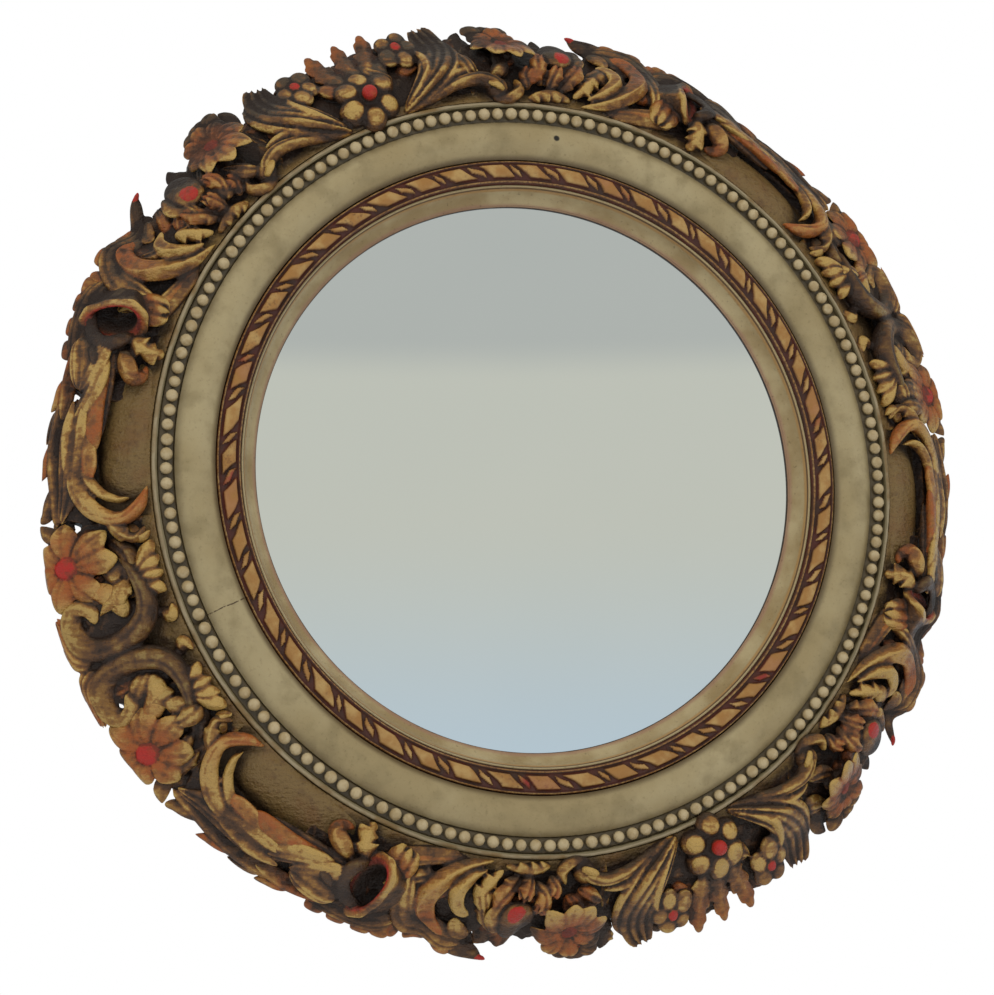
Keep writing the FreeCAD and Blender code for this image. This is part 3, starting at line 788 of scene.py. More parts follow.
# one quarter runs from the bouquet at turn 0 to the volutes at turn 90
def undergrowth(made, first, last, count, nearest=20):
    # small leaves and curls that fill the wood between the main forms
    for index in range(count):
        turn = first + (last - first) * (index + random.random()) / count
        reach = random.uniform(nearest, 58)
        way = math.radians(random.uniform(-75, 75))
        length = random.uniform(20, 32)
        bend = random.uniform(-0.9, 0.9)
        lift = -groundSlant * min(reach, 49.0) + 15
        points, stepTurn = [], 57.3 / (ring["groundInner"] + reach)
        for k in range(4):
            points.append((turn, reach, lift - max(reach - 46, 0) * 0.75 + (0, 3, 3, -1)[k]))
            turn += math.sin(way + bend * k / 3) * length / 3 * stepTurn
            reach = min(reach + math.cos(way + bend * k / 3) * length / 3, 64)
            lift -= 0.5
        wide = random.uniform(6.0, 8.5)
        leaf(made, points, [wide * 0.6, wide, wide * 0.85, 1.8], [4.5, 6, 5.5, 3],
            random.choice(("brown", "bronze", "brown", "rust")), "bronze", crest=0.4,
            strands=random.choice((0, 2, 3)), cut=1.8, ragged=0.35, along=22,
            teeth=random.choice((0, 3)), toothDepth=0.3)


def bouquetHalf(made, side):
    # side 1 is towards the quarter's volutes, -1 is the mirror image
    def half(points):
        return [(turn * side, reach, lift) for turn, reach, lift in points]

    # broad ridged leaf that sweeps up from beside the beads to a ragged end
    leaf(made, half([(4.4, 2, 1), (7.0, 13, 5), (10.0, 30, 5), (11.9, 48, -5), (11.7, 63, -18),
        (11.0, 75, -29)]), [2.5, 6.5, 11.5, 15, 15, 12], [3, 6, 8, 8, 6, 4.5], "bronze", "brown",
        strands=4, cut=3.0, ragged=0.22, blunt=12, along=44, cup=2.5)
    leaf(made, half([(4.8, 0.5, 2), (8.6, 8, 5), (12.4, 23, 6), (14.6, 41, 0), (14.6, 56, -12),
        (13.6, 66, -22)]), [1.6, 2.8, 3.6, 3.8, 3.2, 1.4], [3, 4.5, 5, 5, 4, 2.5], "gold", "bronze",
        crest=0.6, along=34)
    leaf(made, half([(5.0, 5, 4), (7.2, 16, 9), (9.2, 31, 11), (9.7, 45, 5), (9.0, 55, -4)]),
        [1.5, 3.0, 3.8, 3.4, 1.3], [3, 4.5, 5, 4, 2.5], "gold", crest=0.7, along=30)
    # double stem, rolled over at its end into a bud
    leaf(made, half([(4.6, 0.5, 1), (9.2, 8, 4), (13.0, 16, 6), (16.2, 19, 7), (18.6, 15, 7),
        (19.4, 9, 5)]), [2.2, 3.6, 4.2, 4.8, 5.4, 4.6], [3, 4.5, 5.5, 6.5, 7, 5], "bronze", "brown",
        strands=2, cut=1.8, along=34)
    leaf(made, half([(8.0, 14, 4), (11.4, 22, 6), (14.4, 27, 5), (17.0, 27, 3)]),
        [1.5, 2.8, 3.2, 1.5], [3, 4.5, 4.5, 2.5], "brown", "bronze", crest=0.5)
    cupFlower(made, (7.3 * side, 58, -2), 5, 11.0, 8.6, 4.0, 90 - 24 * side, 0.25)


def bouquet(made):
    rootSlab(made, -16.2, 16.2)
    undergrowth(made, -16, 16, 26, 30)
    for side in (1, -1):
        bouquetHalf(made, side)
    # pointed leaves behind the flowers
    for turn, reach, wide, lean in ((0.4, 79, 8, 0), (-3.2, 81, 9, 10), (3.8, 81, 9, -10)):
        leaf(made, [(turn * 0.5, 38, -4), (turn * 0.8, 54, -9), (turn, 68, -18),
            (turn * 1.05, reach + 2, -31)], [5, wide, wide * 0.8, 1.4], [5, 6, 5, 2.4], "bronze",
            "rust", crest=0.5, teeth=4, toothDepth=0.45, lean=lean, along=30)
    cupFlower(made, (-0.2, 23, 8), 6, 17.6, 11.0, 6.4, 25, -0.1)


def flowerSpray(made):
    rootSlab(made, 15.8, 31.7)
    undergrowth(made, 16, 31.5, 15, 16)
    # side daisy: its near petals hang like fingers, its far ones fold over
    flower(made, (21.2, 51, 1), 8, 29, 8.6, 6.4, "gold", "ember", first=10, tilt=0.3, cup=-2.4,
        raised=0.3, groove=1.4, thick=3.6)
    flower(made, (20.0, 64, -14), 6, 22, 9.5, 4.0, "brown", "bronze", first=30, tilt=0.5, cup=-2.5,
        thick=4)
    # bud with its rolled leaf
    ball(made, place(19.2, 11.5, 3), 9.4, "brown")
    leaf(made, [(22.0, 20, 2), (22.6, 10, 5), (20.8, 2.5, 5), (18.2, 2.5, 5)], [2, 4.6, 4.6, 1.6],
        [4, 5.5, 5.5, 3], "bronze", "brown", crest=0.4)
    leaf(made, [(17.6, 15, 11), (18.8, 11.5, 13.5), (20.0, 8, 11)], [2.4, 3.6, 2.4], [2, 2.4, 2],
        "gold")
    # berry with a red spot, in a rough calyx
    ball(made, place(28.5, 47, 1), 15.4, "brown")
    leaf(made, [(30.6, 58, 4), (31.6, 46, 5), (30.6, 34, 2)], [3, 6, 3], [4, 5, 4], "bronze",
        crest=0.4)
    ball(made, place(28.7, 45.0, 7.4), 9.8, "red")
    for points, wide in ((((26.2, 16, 1), (25.4, 27, 6), (25.6, 38, 10), (26.3, 45, 12)), 6.5),
                         (((28.6, 12, 1), (30.0, 22, 4), (31.2, 33, 5), (31.4, 43, 2)), 7.5),
                         (((27.2, 12, 3), (27.8, 23, 9), (28.4, 33, 12)), 6.5),
                         (((24.0, 12, 0), (23.8, 22, 4), (24.4, 31, 7)), 6.5)):
        k = len(points)
        leaf(made, points, [3.5, wide, wide, 2.4][:k], [4, 5.5, 5, 3][:k], "bronze", "rust",
            strands=2, cut=1.8, teeth=3, toothDepth=0.35, ragged=0.35)
    leaf(made, [(24.0, 4, 1), (27.4, 8, 5), (30.8, 6, 3)], [3, 6, 2], [4, 5.5, 3], "gold", "brown",
        teeth=4, toothDepth=0.8, crest=0.4)
    # low leaves along the edge
    for points in (((25.4, 50, -18), (26.6, 62, -26), (26.4, 71, -32)),
                   ((17.4, 52, -16), (16.2, 64, -26), (16.6, 73, -32))):
        leaf(made, points, [8, 8, 2], [6, 5, 3], "brown", "dark", crest=0.5)


def hookLeaf(made):
    rootSlab(made, 31.3, 44.2)
    undergrowth(made, 31.5, 44, 12, 20)
    # outer wrap of strands, with lobes along its edge and a tip that hangs towards the berry
    leaf(made, [(44.0, 12, -2), (43.6, 34, 0), (42.3, 53, -3), (39.6, 65, -10), (36.4, 67, -15),
        (33.8, 66, -22)], [4, 8, 12, 14, 12, 7], [5, 7, 9, 9, 8, 6], "bronze", strands=3, cut=2.2,
        along=44)
    for (turn, reach, lift), wide in (((42.4, 76, -25), 9), ((39.6, 84, -27), 9.5),
                                      ((36.4, 84, -28), 8.5)):
        leaf(made, [(40.2 + (turn - 40) * 0.4, 58, -16), (turn + 0.3, reach - 10, lift + 9),
            (turn, reach, lift)], [8, wide, 5], [6, 6.5, 5], "bronze", "orange", crest=0.4,
            groove=0.8, blunt=4)
    leaf(made, [(37.0, 64, -18), (34.2, 72, -25), (32.6, 76, -30), (31.2, 83, -35)], [9, 9.5, 8, 4],
        [7, 7.5, 6.5, 4.5], "brown", "dark", strands=2, cut=1.4, lean=12)
    ball(made, place(31.4, 80, -27), 4.4, "red")
    # two nested crescents
    leaf(made, [(36.6, 65, -6), (39.0, 61, 0), (40.6, 46, 5), (39.8, 28, 7), (36.6, 11, 6),
        (32.2, 2.5, 3)], [2.4, 6.4, 9.2, 8.6, 6.0, 1.6], [5, 8, 8.5, 8, 6.5, 2.6], "orange", "gold",
        along=40, crest=0.8, lean=24)
    leaf(made, [(34.4, 47, -1), (36.3, 43, 3), (37.1, 31, 7), (35.6, 18, 7), (33.2, 10, 4)],
        [2.6, 5.6, 6.8, 5.4, 1.6], [4, 6, 6.5, 6, 3], "gold", crest=0.8, along=30, lean=20)
    leaf(made, [(33.6, 62, -12), (35.4, 58, -5), (36.0, 50, -3)], [4, 7, 3], [4, 6.5, 4], "brown",
        "gold", groove=1.0)
    leaf(made, [(34.4, 33, -2), (33.0, 21, 3), (31.0, 9, 4)], [6, 6, 1.6], [6, 6, 3], "gold",
        teeth=3, toothDepth=0.7, crest=0.4)
    leaf(made, [(31.8, 42, -8), (31.4, 30, -3), (32.6, 20, 2)], [6, 7, 4.5], [6, 7, 5], "brown",
        strands=2, cut=2.0, ragged=0.3)
    # blades that trail along the beads
    for k, tint in enumerate(("brown", "orange", "brown")):
        leaf(made, [(46.2, 25 - 6 * k, -1), (42.6, 15 - 3.6 * k, 2), (38.6, 8 - 2.2 * k, 3),
            (35.4 + k, 5 - 1.5 * k, 2)], [3.4, 4.8, 4, 1.2], [4.5, 5.5, 4.5, 2], tint, "bronze",
            crest=0.6)


def hornScroll(made):
    rootSlab(made, 43.8, 57.7)
    undergrowth(made, 44, 57.5, 12, 40)
    # the horn's bell: a broad flared lip, gold at its edge and red within, round a hollow painted
    # dark as shade
    start, end = place(42.8, 42, -16), place(48.2, 46, 7)
    axis, length = toUnit(end - start), float(np.linalg.norm(end - start))
    profile = [(-6, 0.1), (-4, 10), (4, 14.5), (16, 18), (27, 21), (length - 5, 25),
               (length - 1, 28), (length + 1.5, 27.0), (length + 2, 23.5),
               (length + 0.5, 19.5), (length - 5, 17), (length - 16, 14.5),
               (length - 25, 8), (length - 26, 0.1)]
    template, unit, part, across, rise = templateBall(48, 52)
    run = smoothRun(profile, part)
    side = toUnit(np.cross(axis, groundUp(47.0)))
    high = np.cross(side, axis)
    angle = np.arctan2(rise, across)
    ribs = 1 + 0.025 * np.cos(9 * angle) * (part < 0.5)
    ringWay = side * across[:, None] + high * rise[:, None] * 0.86
    # deep inside the bell the tint turns dark: painted shade
    stops = np.array([0.0, 0.36, 0.44, 0.54, 0.61, 0.66, 0.72, 0.78, 1.0])
    names = ("bronze", "bronze", "gold", "gold", "orange", "red", "red", "dark", "dark")
    shades = np.array([tints[n] for n in names])
    tint = np.stack([np.interp(part, stops, shades[:, i]) for i in range(4)], axis=1)
    addForm(made, template, start + axis * run[:, :1]
            + ringWay * (np.maximum(run[:, 1], 0.02) * ribs)[:, None], tint)
    # shell that spreads from the lip to the beads, with jagged ends
    leaf(made, [(45.6, 31, 4), (45.2, 19, 6), (44.8, 8, 4)], [13, 14, 12], [5, 6, 4], "orange",
        "gold", strands=3, cut=2.0, ragged=0.4, blunt=12)
    leaf(made, [(49.8, 29, 4), (50.9, 18, 7), (51.0, 8, 5), (50.2, 2.5, 3)], [7, 8.5, 7, 2.4],
        [6, 7, 5.5, 3], "gold", teeth=3, toothDepth=0.8, crest=0.3, along=30)
    leaf(made, [(51.4, 33, 2), (53.4, 28, 7), (55.0, 21, 6), (54.4, 14, 3), (52.8, 12, 2)],
        [5, 7.5, 7, 5, 2.5], [6, 8, 7, 5, 3], "bronze", "rust", crest=0.4)
    # shoulder and round lobes outside the bell
    leaf(made, [(42.4, 60, -16), (45.4, 66, -13), (49.5, 67, -13), (54.0, 66, -15)], [6, 10, 11, 9],
        [7, 10, 10, 8], "bronze", "brown", strands=3, cut=2.0)
    for turn, reach in ((44.0, 75), (46.2, 83), (49.2, 82), (52.0, 80)):
        leaf(made, [(turn * 0.7 + 14.4, 62, -12), (turn, 72, -20), (turn + 0.2, reach + 3, -31)],
            [8, 8.6, 7.4], [7, 7.5, 6.5], "bronze", "orange", groove=0.8, blunt=3)
    # dark roll across the mouth, and the acanthus tongue that comes out of it
    leaf(made, [(47.0, 62, -6), (49.6, 60, 7), (51.2, 51, 13), (51.0, 40, 12), (50.0, 32, 6),
        (50.6, 26, 2)], [3, 5, 6, 6, 5, 3], [4, 6, 6.5, 6.5, 5, 3.5], "dark", along=34)
    for points, widths, heights in ((((50.6, 64, 4), (52.6, 64, 9), (55.0, 62, 9), (57.2, 60, 5)),
                            [6, 9, 9.5, 6], [8, 10, 9, 6]),
                           (((50.0, 47, 7), (52.4, 48, 12), (55.0, 53, 12), (57.4, 61, 8)),
                            [4, 6.4, 7.4, 6], [6, 8, 8, 6]),
                           (((52.6, 44, 8), (55.4, 46, 11), (58.4, 52, 9), (61.2, 61, 3)),
                            [4, 6.2, 7.6, 6.4], [6, 8, 8, 6])):
        leaf(made, points, widths, heights, "gold", along=34, blunt=4, crest=0.2, strands=3,
            cut=1.5, ragged=0.12)
    leaf(made, [(51.8, 57, 15.5), (53.0, 54, 18), (54.2, 51, 16)], [1.2, 3.0, 1.0], [4, 5, 4],
        "dark")
    leaf(made, [(54.4, 40, 6), (58.0, 44, 7), (61.8, 45, 4), (65.0, 44, 0)], [3, 4.6, 6.8, 8],
        [6, 7.5, 8, 7], "orange", "rust", along=34, blunt=3)
    leaf(made, [(51.0, 41, 6), (54.0, 38, 3), (58.0, 37, -1), (63.0, 38, -5)], [2.4, 3.4, 3.2, 1.6],
        [5, 5.5, 5, 3], "bronze", "brown", crest=0.5, along=30)
    leaf(made, [(51.5, 68, -10), (56.6, 70, -13), (61.0, 69, -16)], [5, 6.5, 5], [7, 7.5, 6],
        "orange", "bronze", crest=0.4)
    leaf(made, [(55, 66, -14), (57.4, 75, -22), (58.8, 80, -28), (59.3, 88, -34)], [7, 7, 5.5, 4.2],
        [7, 7, 6, 4.2], "orange", "bronze", blunt=3)


def cartouche(made):
    rootSlab(made, 57.3, 74.4, panel=True)
    undergrowth(made, 57.5, 74, 12, 50)
    # stippled panel beside the beads
    leaf(made, [(51.5, 19, -11.5), (58, 20, -11), (65, 20, -11), (71.8, 18, -12)], [16, 21, 21, 16],
        [6, 7, 7, 6], "ground", around=44, along=44, blunt=10)
    # strands of the acanthus, with slits between
    leaf(made, [(58.5, 59, 3), (62.5, 58, 0), (66.5, 57.5, -6), (70.2, 59, -13), (73.2, 65, -20)],
        [11, 12, 10.5, 8, 4.5], [8, 9, 8, 6.5, 4.5], "bronze", strands=3, cut=1.8, along=40,
        ragged=0.15)
    for points in (((58.4, 64, 10), (62.0, 65, 6), (65.6, 62, -1), (67.6, 61, -6)),
                   ((58.0, 55, 11), (61.4, 55, 8), (65.0, 54, 2), (67.4, 55, -4))):
        leaf(made, points, [2, 4.2, 4.2, 1.6], [4, 5, 5, 3], "gold", crest=0.6, blunt=4)
    leaf(made, [(61.0, 50, 3), (64.0, 48, 2), (66.8, 46, -1), (68.8, 46, -3)], [4, 6, 5.6, 2.6],
        [6, 7, 6.5, 4], "bronze", "orange", crest=0.5, blunt=3)
    # edge of the leaf with knobbed and pointed tips
    leaf(made, [(57.5, 70, -16), (61, 71, -19), (65, 70, -20), (69, 67, -20), (73.4, 68, -23)],
        [7, 8, 8, 7, 5], [8, 8, 8, 7, 5], "bronze", crest=0.5)
    leaf(made, [(63.0, 68, -20), (65.8, 76, -26), (67.0, 80, -30), (67.8, 86, -34)], [8, 7.5, 5, 2],
        [7, 7, 5.5, 3], "orange", "rust", crest=0.5, groove=0.5)
    leaf(made, [(59.6, 72, -22), (61.6, 78, -28), (63.6, 79, -31)], [6, 6, 1.6], [6, 5, 3],
        "bronze", crest=0.5)
    leaf(made, [(68.0, 64, -20), (70.6, 71, -26), (72.0, 76, -31), (72.4, 84, -34)], [7, 7, 5, 1.6],
        [7, 6, 5, 3], "bronze", "brown", crest=0.5)
    # two ridges that sweep round the end of the panel to the beads
    leaf(made, [(64.6, 56, -6), (68.6, 55, -3), (71.9, 46, 1), (73.7, 33, 3), (73.7, 21, 4),
        (72.1, 10, 5), (69.6, 3.5, 3)], [3, 5.6, 6, 5.6, 5.4, 4.8, 1.4],
        [5, 7.5, 8, 8, 7.5, 6, 2.6], "gold", "orange", groove=1.4, around=24, along=48)
    leaf(made, [(64.8, 48, -5), (67.8, 47, -3), (70.2, 38, -1), (71.3, 27, 1), (71.2, 17, 1)],
        [2.2, 3.2, 3.4, 3, 1.2], [5, 6.5, 6.5, 6, 3], "bronze", "gold", along=34, crest=0.4)
    leaf(made, [(72.8, 36, 0), (75.4, 29, 3), (76.6, 18, 3), (75.2, 8, 2)], [5, 5.5, 4.6, 1.4],
        [6, 6.5, 5, 2.6], "bronze", "brown", crest=0.5, teeth=2, toothDepth=0.5)


def rosette(made):
    rootSlab(made, 74.0, 83.7)
    undergrowth(made, 74.2, 83.5, 9, 18)
    flower(made, (78.3, 60, -19), 7, 33, 10.2, 9.0, "gold", "ember", first=24, cup=-2.6,
        raised=0.26, groove=1.6, thick=4.6, uneven=0.14)
    leaf(made, [(75.0, 64, -24), (73.8, 77, -29), (73.1, 88, -35)], [7, 6, 1.8], [6, 5, 2.8],
        "bronze", "brown", crest=0.5)
    leaf(made, [(76.0, 34, -12), (79.0, 24, -4), (82.4, 29, -8)], [7, 8, 6], [7, 8, 6], "dark",
        "brown", strands=2, cut=2)
    leaf(made, [(74.6, 20, -4), (76.6, 14, 2), (76.0, 5, 2)], [4, 5, 1.6], [5, 5, 3], "brown",
        "bronze", crest=0.5)


def volute(made, side):
    def half(points):
        return [(90 - (90 - turn) * side, reach, lift) for turn, reach, lift in points]

    # smooth dark roll that winds outwards into a round end
    leaf(made, half([(78.6, 33, -2), (80.8, 25, 2), (84.2, 21, 3), (87.0, 26, 0), (88.6, 40, -5),
        (88.7, 55, -11), (87.5, 67, -16), (85.0, 71, -18), (83.2, 65, -16), (83.8, 57, -11),
        (85.6, 56, -9)]), [2, 5, 7.4, 8.6, 9, 9, 8.4, 7, 6.6, 6, 4],
        [4, 7.5, 9.5, 10.5, 11, 11, 10, 9, 8, 8, 6], "dark", "gold", around=30, along=76, strands=2,
        cut=1.3)
    leaf(made, half([(82.4, 60, -18), (82.0, 50, -9), (83.6, 41, -5), (86.2, 37, -5)]),
        [5, 7, 7.5, 4], [6, 8, 8, 6], "orange", "gold", crest=0.5, strands=2, cut=1.4)
    leaf(made, half([(85.0, 54, -17), (85.8, 38, -14), (84.0, 30, -10)]), [10, 11, 9], [6, 7, 6],
        "brown")
    # jagged leaf that breaks out over the outer edge
    leaf(made, half([(89.4, 63, -16), (87.8, 73, -19), (85.4, 79, -24), (83.6, 84, -29)]),
        [10, 13, 13, 10], [8, 8, 6.5, 4], "bronze", "orange", strands=4, cut=2.4, ragged=0.3,
        blunt=12, lean=-10)
    for turn, reach in ((84.0, 88), (87.0, 90)):
        leaf(made, half([(87.4, 66, -22), (turn + 0.8, 78, -27), (turn, reach, -34)]), [8, 7, 1.6],
            [6, 5.5, 3], "bronze", "rust", crest=0.5)
    # yellow leaf between the roll and the beads
    for tip, wide in (((77.4, 4.5, 1), 6.5), ((79.6, 2.6, 2), 7), ((81.9, 2.6, 2), 7),
                      ((84.4, 4, 1), 6)):
        middle = (82.0 + (tip[0] - 82.0) * 0.7, 12, 5)
        leaf(made, half([(82.0, 25, -1), middle, tip]), [3.5, wide, 2.2], [5, 6, 3.4], "bronze",
            "gold", crest=0.5)
    leaf(made, half([(86.6, 14, -4), (88.0, 8, 1), (86.4, 3, 1)]), [4, 5.5, 2], [4, 5, 3], "brown",
        "bronze", crest=0.5)


def volutePair(made):
    rootSlab(made, 83.3, 96.7, panel=True)
    undergrowth(made, 83.5, 96.5, 10, 36)
    leaf(made, [(90, 46, -14), (90, 62, -22), (90, 74, -30)], [6, 9, 3], [6, 6, 3], "brown",
        strands=2)
    for side in (1, -1):
        volute(made, side)


def relaxed(points, first, second, steps, strength=0.6):
    # evens out points over their neighbours; first and second are the two ends of the edges
    count = len(points)
    degree = np.maximum(np.bincount(first, minlength=count)
                        + np.bincount(second, minlength=count), 1)
    for _ in range(steps):
        total = np.stack([np.bincount(first, points[second, i], count)
                          + np.bincount(second, points[first, i], count) for i in range(3)], axis=1)
        points = points + strength * (total / degree[:, None] - points)
    return points


def sunkBelow(points, rise, cell=1.6, steps=4):
    # how far each point lies below the highest form within a few millimetres of it
    spot = np.stack([points[:, 0], points[:, 2]], axis=1)
    spot = np.floor((spot - spot.min(axis=0)) / cell).astype(int) + steps + 2
    top = np.full(tuple(spot.max(axis=0) + steps + 3), -50.0)
    np.maximum.at(top, (spot[:, 0], spot[:, 1]), rise)
    for axis in (0, 1):
        top = np.maximum.reduce([np.roll(top, k, axis) for k in range(-steps, steps + 1)])
    for axis in (0, 1):
        top = sum(np.roll(top, k, axis) for k in range(-2, 3)) / 5
    return np.clip(top[spot[:, 0], spot[:, 1]] - rise, 0, 30)


def voxelMesh(made, name, voxel):
    # one skin over all the forms
    mesh = meshFrom(made, name)
    blank = addObject("blank", mesh)
    bpy.context.view_layer.objects.active = blank
    mesh.remesh_voxel_size = voxel
    mesh.use_remesh_preserve_attributes = True
    mesh.use_remesh_fix_poles = False
    bpy.ops.object.voxel_remesh()
    bpy.data.objects.remove(blank)
    return mesh


def fittedOutline(points):
    # towards the outer edge the leaves lean back to the wall, and the outline swells and draws in
    look = carving
    back, rim, bend = look["backLimit"], look["rim"], look["rimBend"]
    points[:, 1] = np.clip(points[:, 1], -look["frontLimit"], -back)
    radius = np.hypot(points[:, 0], points[:, 2])
    lean = 1 - look["leanBack"] * softStep(radius, *look["leanRadii"])
    points[:, 1] = -back + (points[:, 1] + back) * lean
    held = np.where(radius > rim - bend, rim - bend + bend * np.tanh((radius - rim + bend) / bend),
                    radius)
    turns = np.degrees(np.arctan2(points[:, 0], points[:, 2])) % 360.0
    low, high = look["swellRadii"]
    outer = np.clip((radius - low) / (high - low), 0, 1)
    for at, wide, out in look["swells"]:
        held += out * outer * np.exp(-(((turns - at + 180.0) % 360.0 - 180.0) / wide) ** 2)
    across = np.maximum(np.abs(points[:, 0]), np.abs(points[:, 2])) / radius
    held = np.minimum(held, look["farthest"] / across)
    points[:, 0::2] *= (held / radius)[:, None]


def finishCarving(node, made, turn, mirrored, material):
    matrix = Matrix.Rotation(math.radians(turn), 4, "Y")
    if mirrored:
        matrix = matrix @ Matrix.Scale(-1.0, 4, (1, 0, 0))
    bmesh.ops.transform(made, matrix=matrix, verts=made.verts)
    bmesh.ops.recalc_face_normals(made, faces=made.faces)
    voxel = carving["voxel"]
    if node[:-2] in ("bouquet", "volute_pair"):
        voxel = max(voxel, carving["bigVoxel"])
    mesh = voxelMesh(made, f"carved_{node}", voxel)
    first, second = readRows(mesh.edges, "vertices", 2, np.int32).T
    points = relaxed(readRows(mesh.vertices, "co"), first, second, carving["soften"])
    fittedOutline(points)
    mesh.vertices.foreach_set("co", points.ravel())
    mesh.update()
    normals = readRows(mesh.vertices, "normal")
    near = relaxed(points, first, second, 4)
    wide = relaxed(near, first, second, 26)
    radius = np.hypot(points[:, 0], points[:, 2])
    ground = ring["groundFront"] - np.clip(radius - ring["groundInner"], 0, 49) * groundSlant
    readings = {
        # edgeLine gives gold wear on edges and glaze with painted shade in fine cuts; hollow and
        # sunk give painted shade in creases and below nearby forms
        "edgeLine": np.einsum("ij,ij->i", near - points, normals),
        "hollow": np.einsum("ij,ij->i", wide - points, normals),
        "sunk": sunkBelow(points, -points[:, 1] - ground),
        # darker on what faces up and on the upper part of the frame: partly dust, partly painted
        # shade
        "dustAndShade": normals[:, 2] * 0.8 + 0.2 * np.clip(points[:, 2] / 380.0, -1, 1),
    }
    for key, values in readings.items():
        layer = mesh.attributes.new(key, "FLOAT", "POINT")
        layer.data.foreach_set("value", values.astype(np.float32))
    showPiece(f"carved_{node}", mesh, [material], node)
    return len(points)


giltLook = {
    "goldPale": colour(0.47, 0.300, 0.085),
    "gold": colour(0.29, 0.140, 0.030),
    "bronze": colour(0.160, 0.068, 0.019),
    "brown": colour(0.078, 0.035, 0.014),
    "dark": colour(0.024, 0.012, 0.007),
    "orange": colour(0.33, 0.085, 0.015),
    "red": colour(0.40, 0.020, 0.013),
    "ground": colour(0.185, 0.115, 0.038),
    "olive": colour(0.068, 0.044, 0.023),
}


def giltMaterial():
    look = giltLook
    startMaterial("giltCarving", 0.42, 0.1)
    redPart, goldPart, darkPart = colourParts(reading("tint", "Color"))
    groundPart = reading("tint", "Alpha")
    edgeLine, hollow, sunk, dustAndShade = (reading(n) for n in ("edgeLine", "hollow", "sunk", "dustAndShade"))
    patch, blotch, fine = speckle(42.0, 4.0), speckle(130.0, 4.0), speckle(520.0)
    streaks = speckle(90.0, 3.0, (1.0, 1.0, 3.5))
    # gold is rubbed on the high edges; the cuts and what lies below nearby forms get brown glaze
    # and painted shade, and what faces up gets dust and painted shade
    lit = plus(plus(goldPart, times(edgeLine, -2.4)), times(hollow, -0.25))
    lit = minus(minus(lit, between(sunk, 3.5, 13.0)), between(dustAndShade, -0.1, 0.8, 0.0, 0.6))
    for noise, amount in ((blotch, 1.7), (patch, 2.1), (streaks, 1.2)):
        lit = plus(lit, centred(noise, amount))
    # olive on what faces up: dust and painted shade
    shade = blend(between(dustAndShade, 0.0, 0.6), look["brown"], look["olive"])
    paint = blend(between(lit, -0.65, -0.1), look["dark"], shade)
    paint = blend(between(lit, 0.05, 0.4), paint, look["bronze"])
    paint = blend(between(lit, 0.4, 0.8), paint, look["gold"])
    paint = blend(between(plus(lit, times(fine, 0.3)), 0.95, 1.35), paint, look["goldPale"])
    # colours over the gilding
    # orange and red are held back where lit is low, so the painted shade darkens them too
    clear = between(lit, -0.6, 0.2, 0.3, 1.0)
    orange = times(between(redPart, 0.06, 0.42), between(blotch, 0.35, 0.6, 0.3, 0.95))
    paint = blend(times(orange, clear), paint, look["orange"])
    red = times(between(redPart, 0.5, 0.9), between(blotch, 0.3, 0.55, 0.7, 1.0))
    paint = blend(times(red, clear), paint, look["red"])
    paint = blend(times(darkPart, 0.92), paint, look["dark"])
    # tan ground, stippled
    tan = blend(between(patch, 0.45, 0.7, 0.0, 0.5), look["ground"], look["bronze"])
    tan = blend(between(blotch, 0.5, 0.72, 0.0, 0.4), tan, look["brown"])
    tan = blend(between(fine, 0.55, 0.8, 0.0, 0.7), tan, look["brown"])
    # painted shade on the ground close beside the forms
    tan = blend(between(sunk, 7.0, 20.0, 0.0, 0.75), tan, look["dark"])
    paint = blend(groundPart, paint, tan)
    roughness = between(plus(fine, times(lit, -0.2)), 0.1, 0.75, 0.27, 0.56)
    height = plus(times(fine, 0.35), plus(blotch, times(streaks, 0.8)))
    return finishMaterial(paint, roughness, height, 0.0022, 0.9)


def carvedBorder():
    material = giltMaterial()
    base, opposite = ring["patternTurn"], ring["patternTurn"] + 180.0
    quarters = ((base, False), (opposite, True), (opposite, False), (base, True))
    halves = ((base, False), (opposite, False))
    stretches = {"flower_spray": (flowerSpray, quarters), "hook_leaf": (hookLeaf, quarters),
                 "horn_scroll": (hornScroll, quarters), "cartouche": (cartouche, quarters),
                 "rosette": (rosette, quarters), "bouquet": (bouquet, halves),
                 "volute_pair": (volutePair, halves)}
    total = 0
    for node, (shape, copies) in stretches.items():
        for index, (turn, mirrored) in enumerate(copies):
            random.seed(f"{node}{index}")
            made = beginCarving()
            shape(made)
            total += finishCarving(f"{node}_{index + 1}", made, turn, mirrored, material)
    print("carving made:", total, "vertices")


carvedBorder()


# glass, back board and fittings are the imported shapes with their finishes
def dress(nodes, material):
    for node in nodes:
        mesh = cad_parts[node].data
        mesh.materials.clear()
        mesh.materials.append(material)


def mirrorMaterial():
    startMaterial("mirrorGlass", 0.018, 1.0)
    return finishMaterial(blend(speckle(7.0, 2.0), colour(0.90, 0.925, 0.92),
                                colour(0.94, 0.955, 0.945)))


def metalMaterial(name, bright, dull, roughness):
    startMaterial(name, roughness, 1.0)
    patch, fine = speckle(160.0, 4.0), speckle(900.0, 2.0, (1.0, 1.0, 6.0))
    paint = blend(between(patch, 0.4, 0.7), colour(*bright), colour(*dull))
    worn = between(patch, 0.3, 0.7, roughness - 0.08, roughness + 0.15)
    return finishMaterial(paint, worn, fine, 0.0002, 0.4)


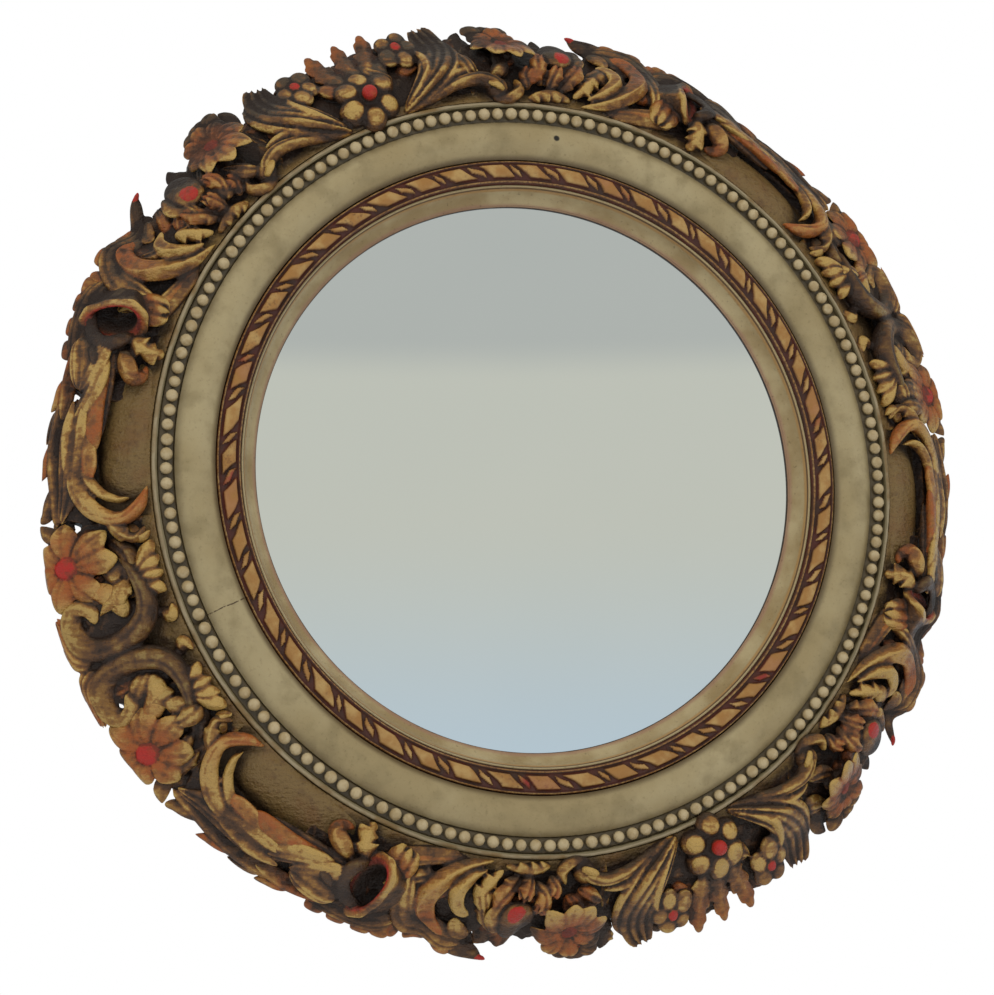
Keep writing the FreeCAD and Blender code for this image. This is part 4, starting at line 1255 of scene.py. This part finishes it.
def sheetMaterial(name, pale, deep, scale, stretch, roughness):
    startMaterial(name, roughness)
    pale, deep = colour(*pale), colour(*deep)
    grain, fine = speckle(scale, 5.0, stretch), speckle(500.0)
    paint = blend(between(grain, 0.35, 0.68), pale, deep)
    paint = blend(times(between(fine, 0.5, 0.8), 0.35), paint, deep)
    return finishMaterial(paint, None, plus(grain, fine), 0.0005, 0.6)


# node: name of its finish, pale and deep colour, size and stretch of the grain, roughness
sheets = {
    "back_board": ("boardWood", (0.34, 0.22, 0.115), (0.22, 0.125, 0.06), 16.0,
                   (9.0, 1.0, 1.0), 0.7),
    "backing_sheet": ("backingCard", (0.32, 0.27, 0.20), (0.24, 0.19, 0.13), 60.0, None, 0.85),
    "joint_splines": ("splineWood", (0.30, 0.18, 0.09), (0.19, 0.105, 0.05), 40.0,
                      (1.0, 1.0, 10.0), 0.7),
    "wall_bumpers": ("bumperFelt", (0.10, 0.075, 0.055), (0.05, 0.038, 0.03), 700.0, None, 0.95),
}

dress(["mirror_glass"], mirrorMaterial())
for sheetNode, finish in sheets.items():
    dress([sheetNode], sheetMaterial(*finish))
dress([f"turn_button_{i + 1}" for i in range(6)] + ["hanger_plate_left", "hanger_plate_right"],
      metalMaterial("brass", (0.62, 0.42, 0.16), (0.30, 0.19, 0.075), 0.34))
dress(["button_screws", "hanger_screws", "hanger_ring_left", "hanger_ring_right"],
      metalMaterial("steel", (0.52, 0.51, 0.50), (0.28, 0.26, 0.24), 0.32))
print("fittings dressed")

studio = {
    "floorHeight": -1.5,
    "floorRadius": 4.0,
    "ambient": 0.62,
    # power, place and size of each lamp
    "keyLamp": (36.0, (-1.3, -2.3, 1.9), 1.5),
    "fillLamp": (9.0, (1.9, -2.0, 0.1), 2.0),
}


def addLamp(name):
    power, location, size = studio[name]
    lamp = bpy.data.lights.new(name, "AREA")
    lamp.energy = power
    lamp.shape = "DISK"
    lamp.size = size
    thing = addObject(name, lamp)
    thing.location = location
    thing.rotation_euler = (-thing.location).to_track_quat("-Z", "Y").to_euler()
    thing.visible_glossy = False


def studioFloor():
    made = bmesh.new()
    bmesh.ops.create_circle(made, cap_ends=True, segments=96, radius=studio["floorRadius"],
                            matrix=Matrix.Translation((0, 0, studio["floorHeight"])))
    floor = addObject("floor", meshFrom(made, "floor"))
    startMaterial("paleFloor", 0.9)
    floor.data.materials.append(finishMaterial(blend(speckle(3.0), colour(0.80, 0.80, 0.79),
                                                     colour(0.84, 0.84, 0.83))))


def studioWorld():
    world = bpy.data.worlds.new("studio")
    bpy.context.scene.world = world
    world.use_nodes = True
    bench["tree"] = world.node_tree
    world.node_tree.nodes.clear()
    path = addNode("ShaderNodeLightPath").outputs
    where = addNode("ShaderNodeTexCoord").outputs["Generated"]
    height = addNode("ShaderNodeSeparateXYZ", {0: where}).outputs[2]

    def sky(paint, strength=1.0):
        return addNode("ShaderNodeBackground", {"Color": paint, "Strength": strength}).outputs[0]

    def chosen(factor, first, second):
        return addNode("ShaderNodeMixShader", {0: factor, 1: first, 2: second}).outputs[0]

    # what glass and metal show: pale, cooler low down and greyer high up
    shown = blend(between(height, 0.02, 0.17), colour(0.48, 0.585, 0.67),
                  colour(0.555, 0.565, 0.505))
    shown = blend(between(height, 0.230, 0.252), shown, colour(0.455, 0.475, 0.455))
    lighting = chosen(path["Is Glossy Ray"], sky(colour(1.0, 0.985, 0.96), studio["ambient"]),
                      sky(shown))
    seen = calc("MAXIMUM", path["Is Camera Ray"], path["Is Transmission Ray"])
    addNode("ShaderNodeOutputWorld", {"Surface": chosen(seen, lighting, sky(colour(1, 1, 1)))})


photoCamera = {
    "location": (-0.46547, -1.56899, -0.30378),
    "right": (0.96242, -0.27153, -0.00339),
    "up": (-0.04400, -0.16826, 0.98476),
    "lens": 72.36,
}


def addCamera():
    camera = bpy.data.cameras.new("photoCamera")
    camera.lens = photoCamera["lens"]
    camera.sensor_width = 36.0
    camera.clip_start = 0.05
    thing = addObject("photoCamera", camera)
    right = Vector(photoCamera["right"]).normalized()
    up = Vector(photoCamera["up"])
    up = (up - right * up.dot(right)).normalized()
    turned = Matrix((right, up, right.cross(up))).transposed().to_4x4()
    thing.matrix_world = Matrix.Translation(photoCamera["location"]) @ turned
    bpy.context.scene.camera = thing


studioFloor()
studioWorld()
addLamp("keyLamp")
addLamp("fillLamp")
addCamera()
bpy.context.scene.view_settings.view_transform = "Standard"
print("studio set")
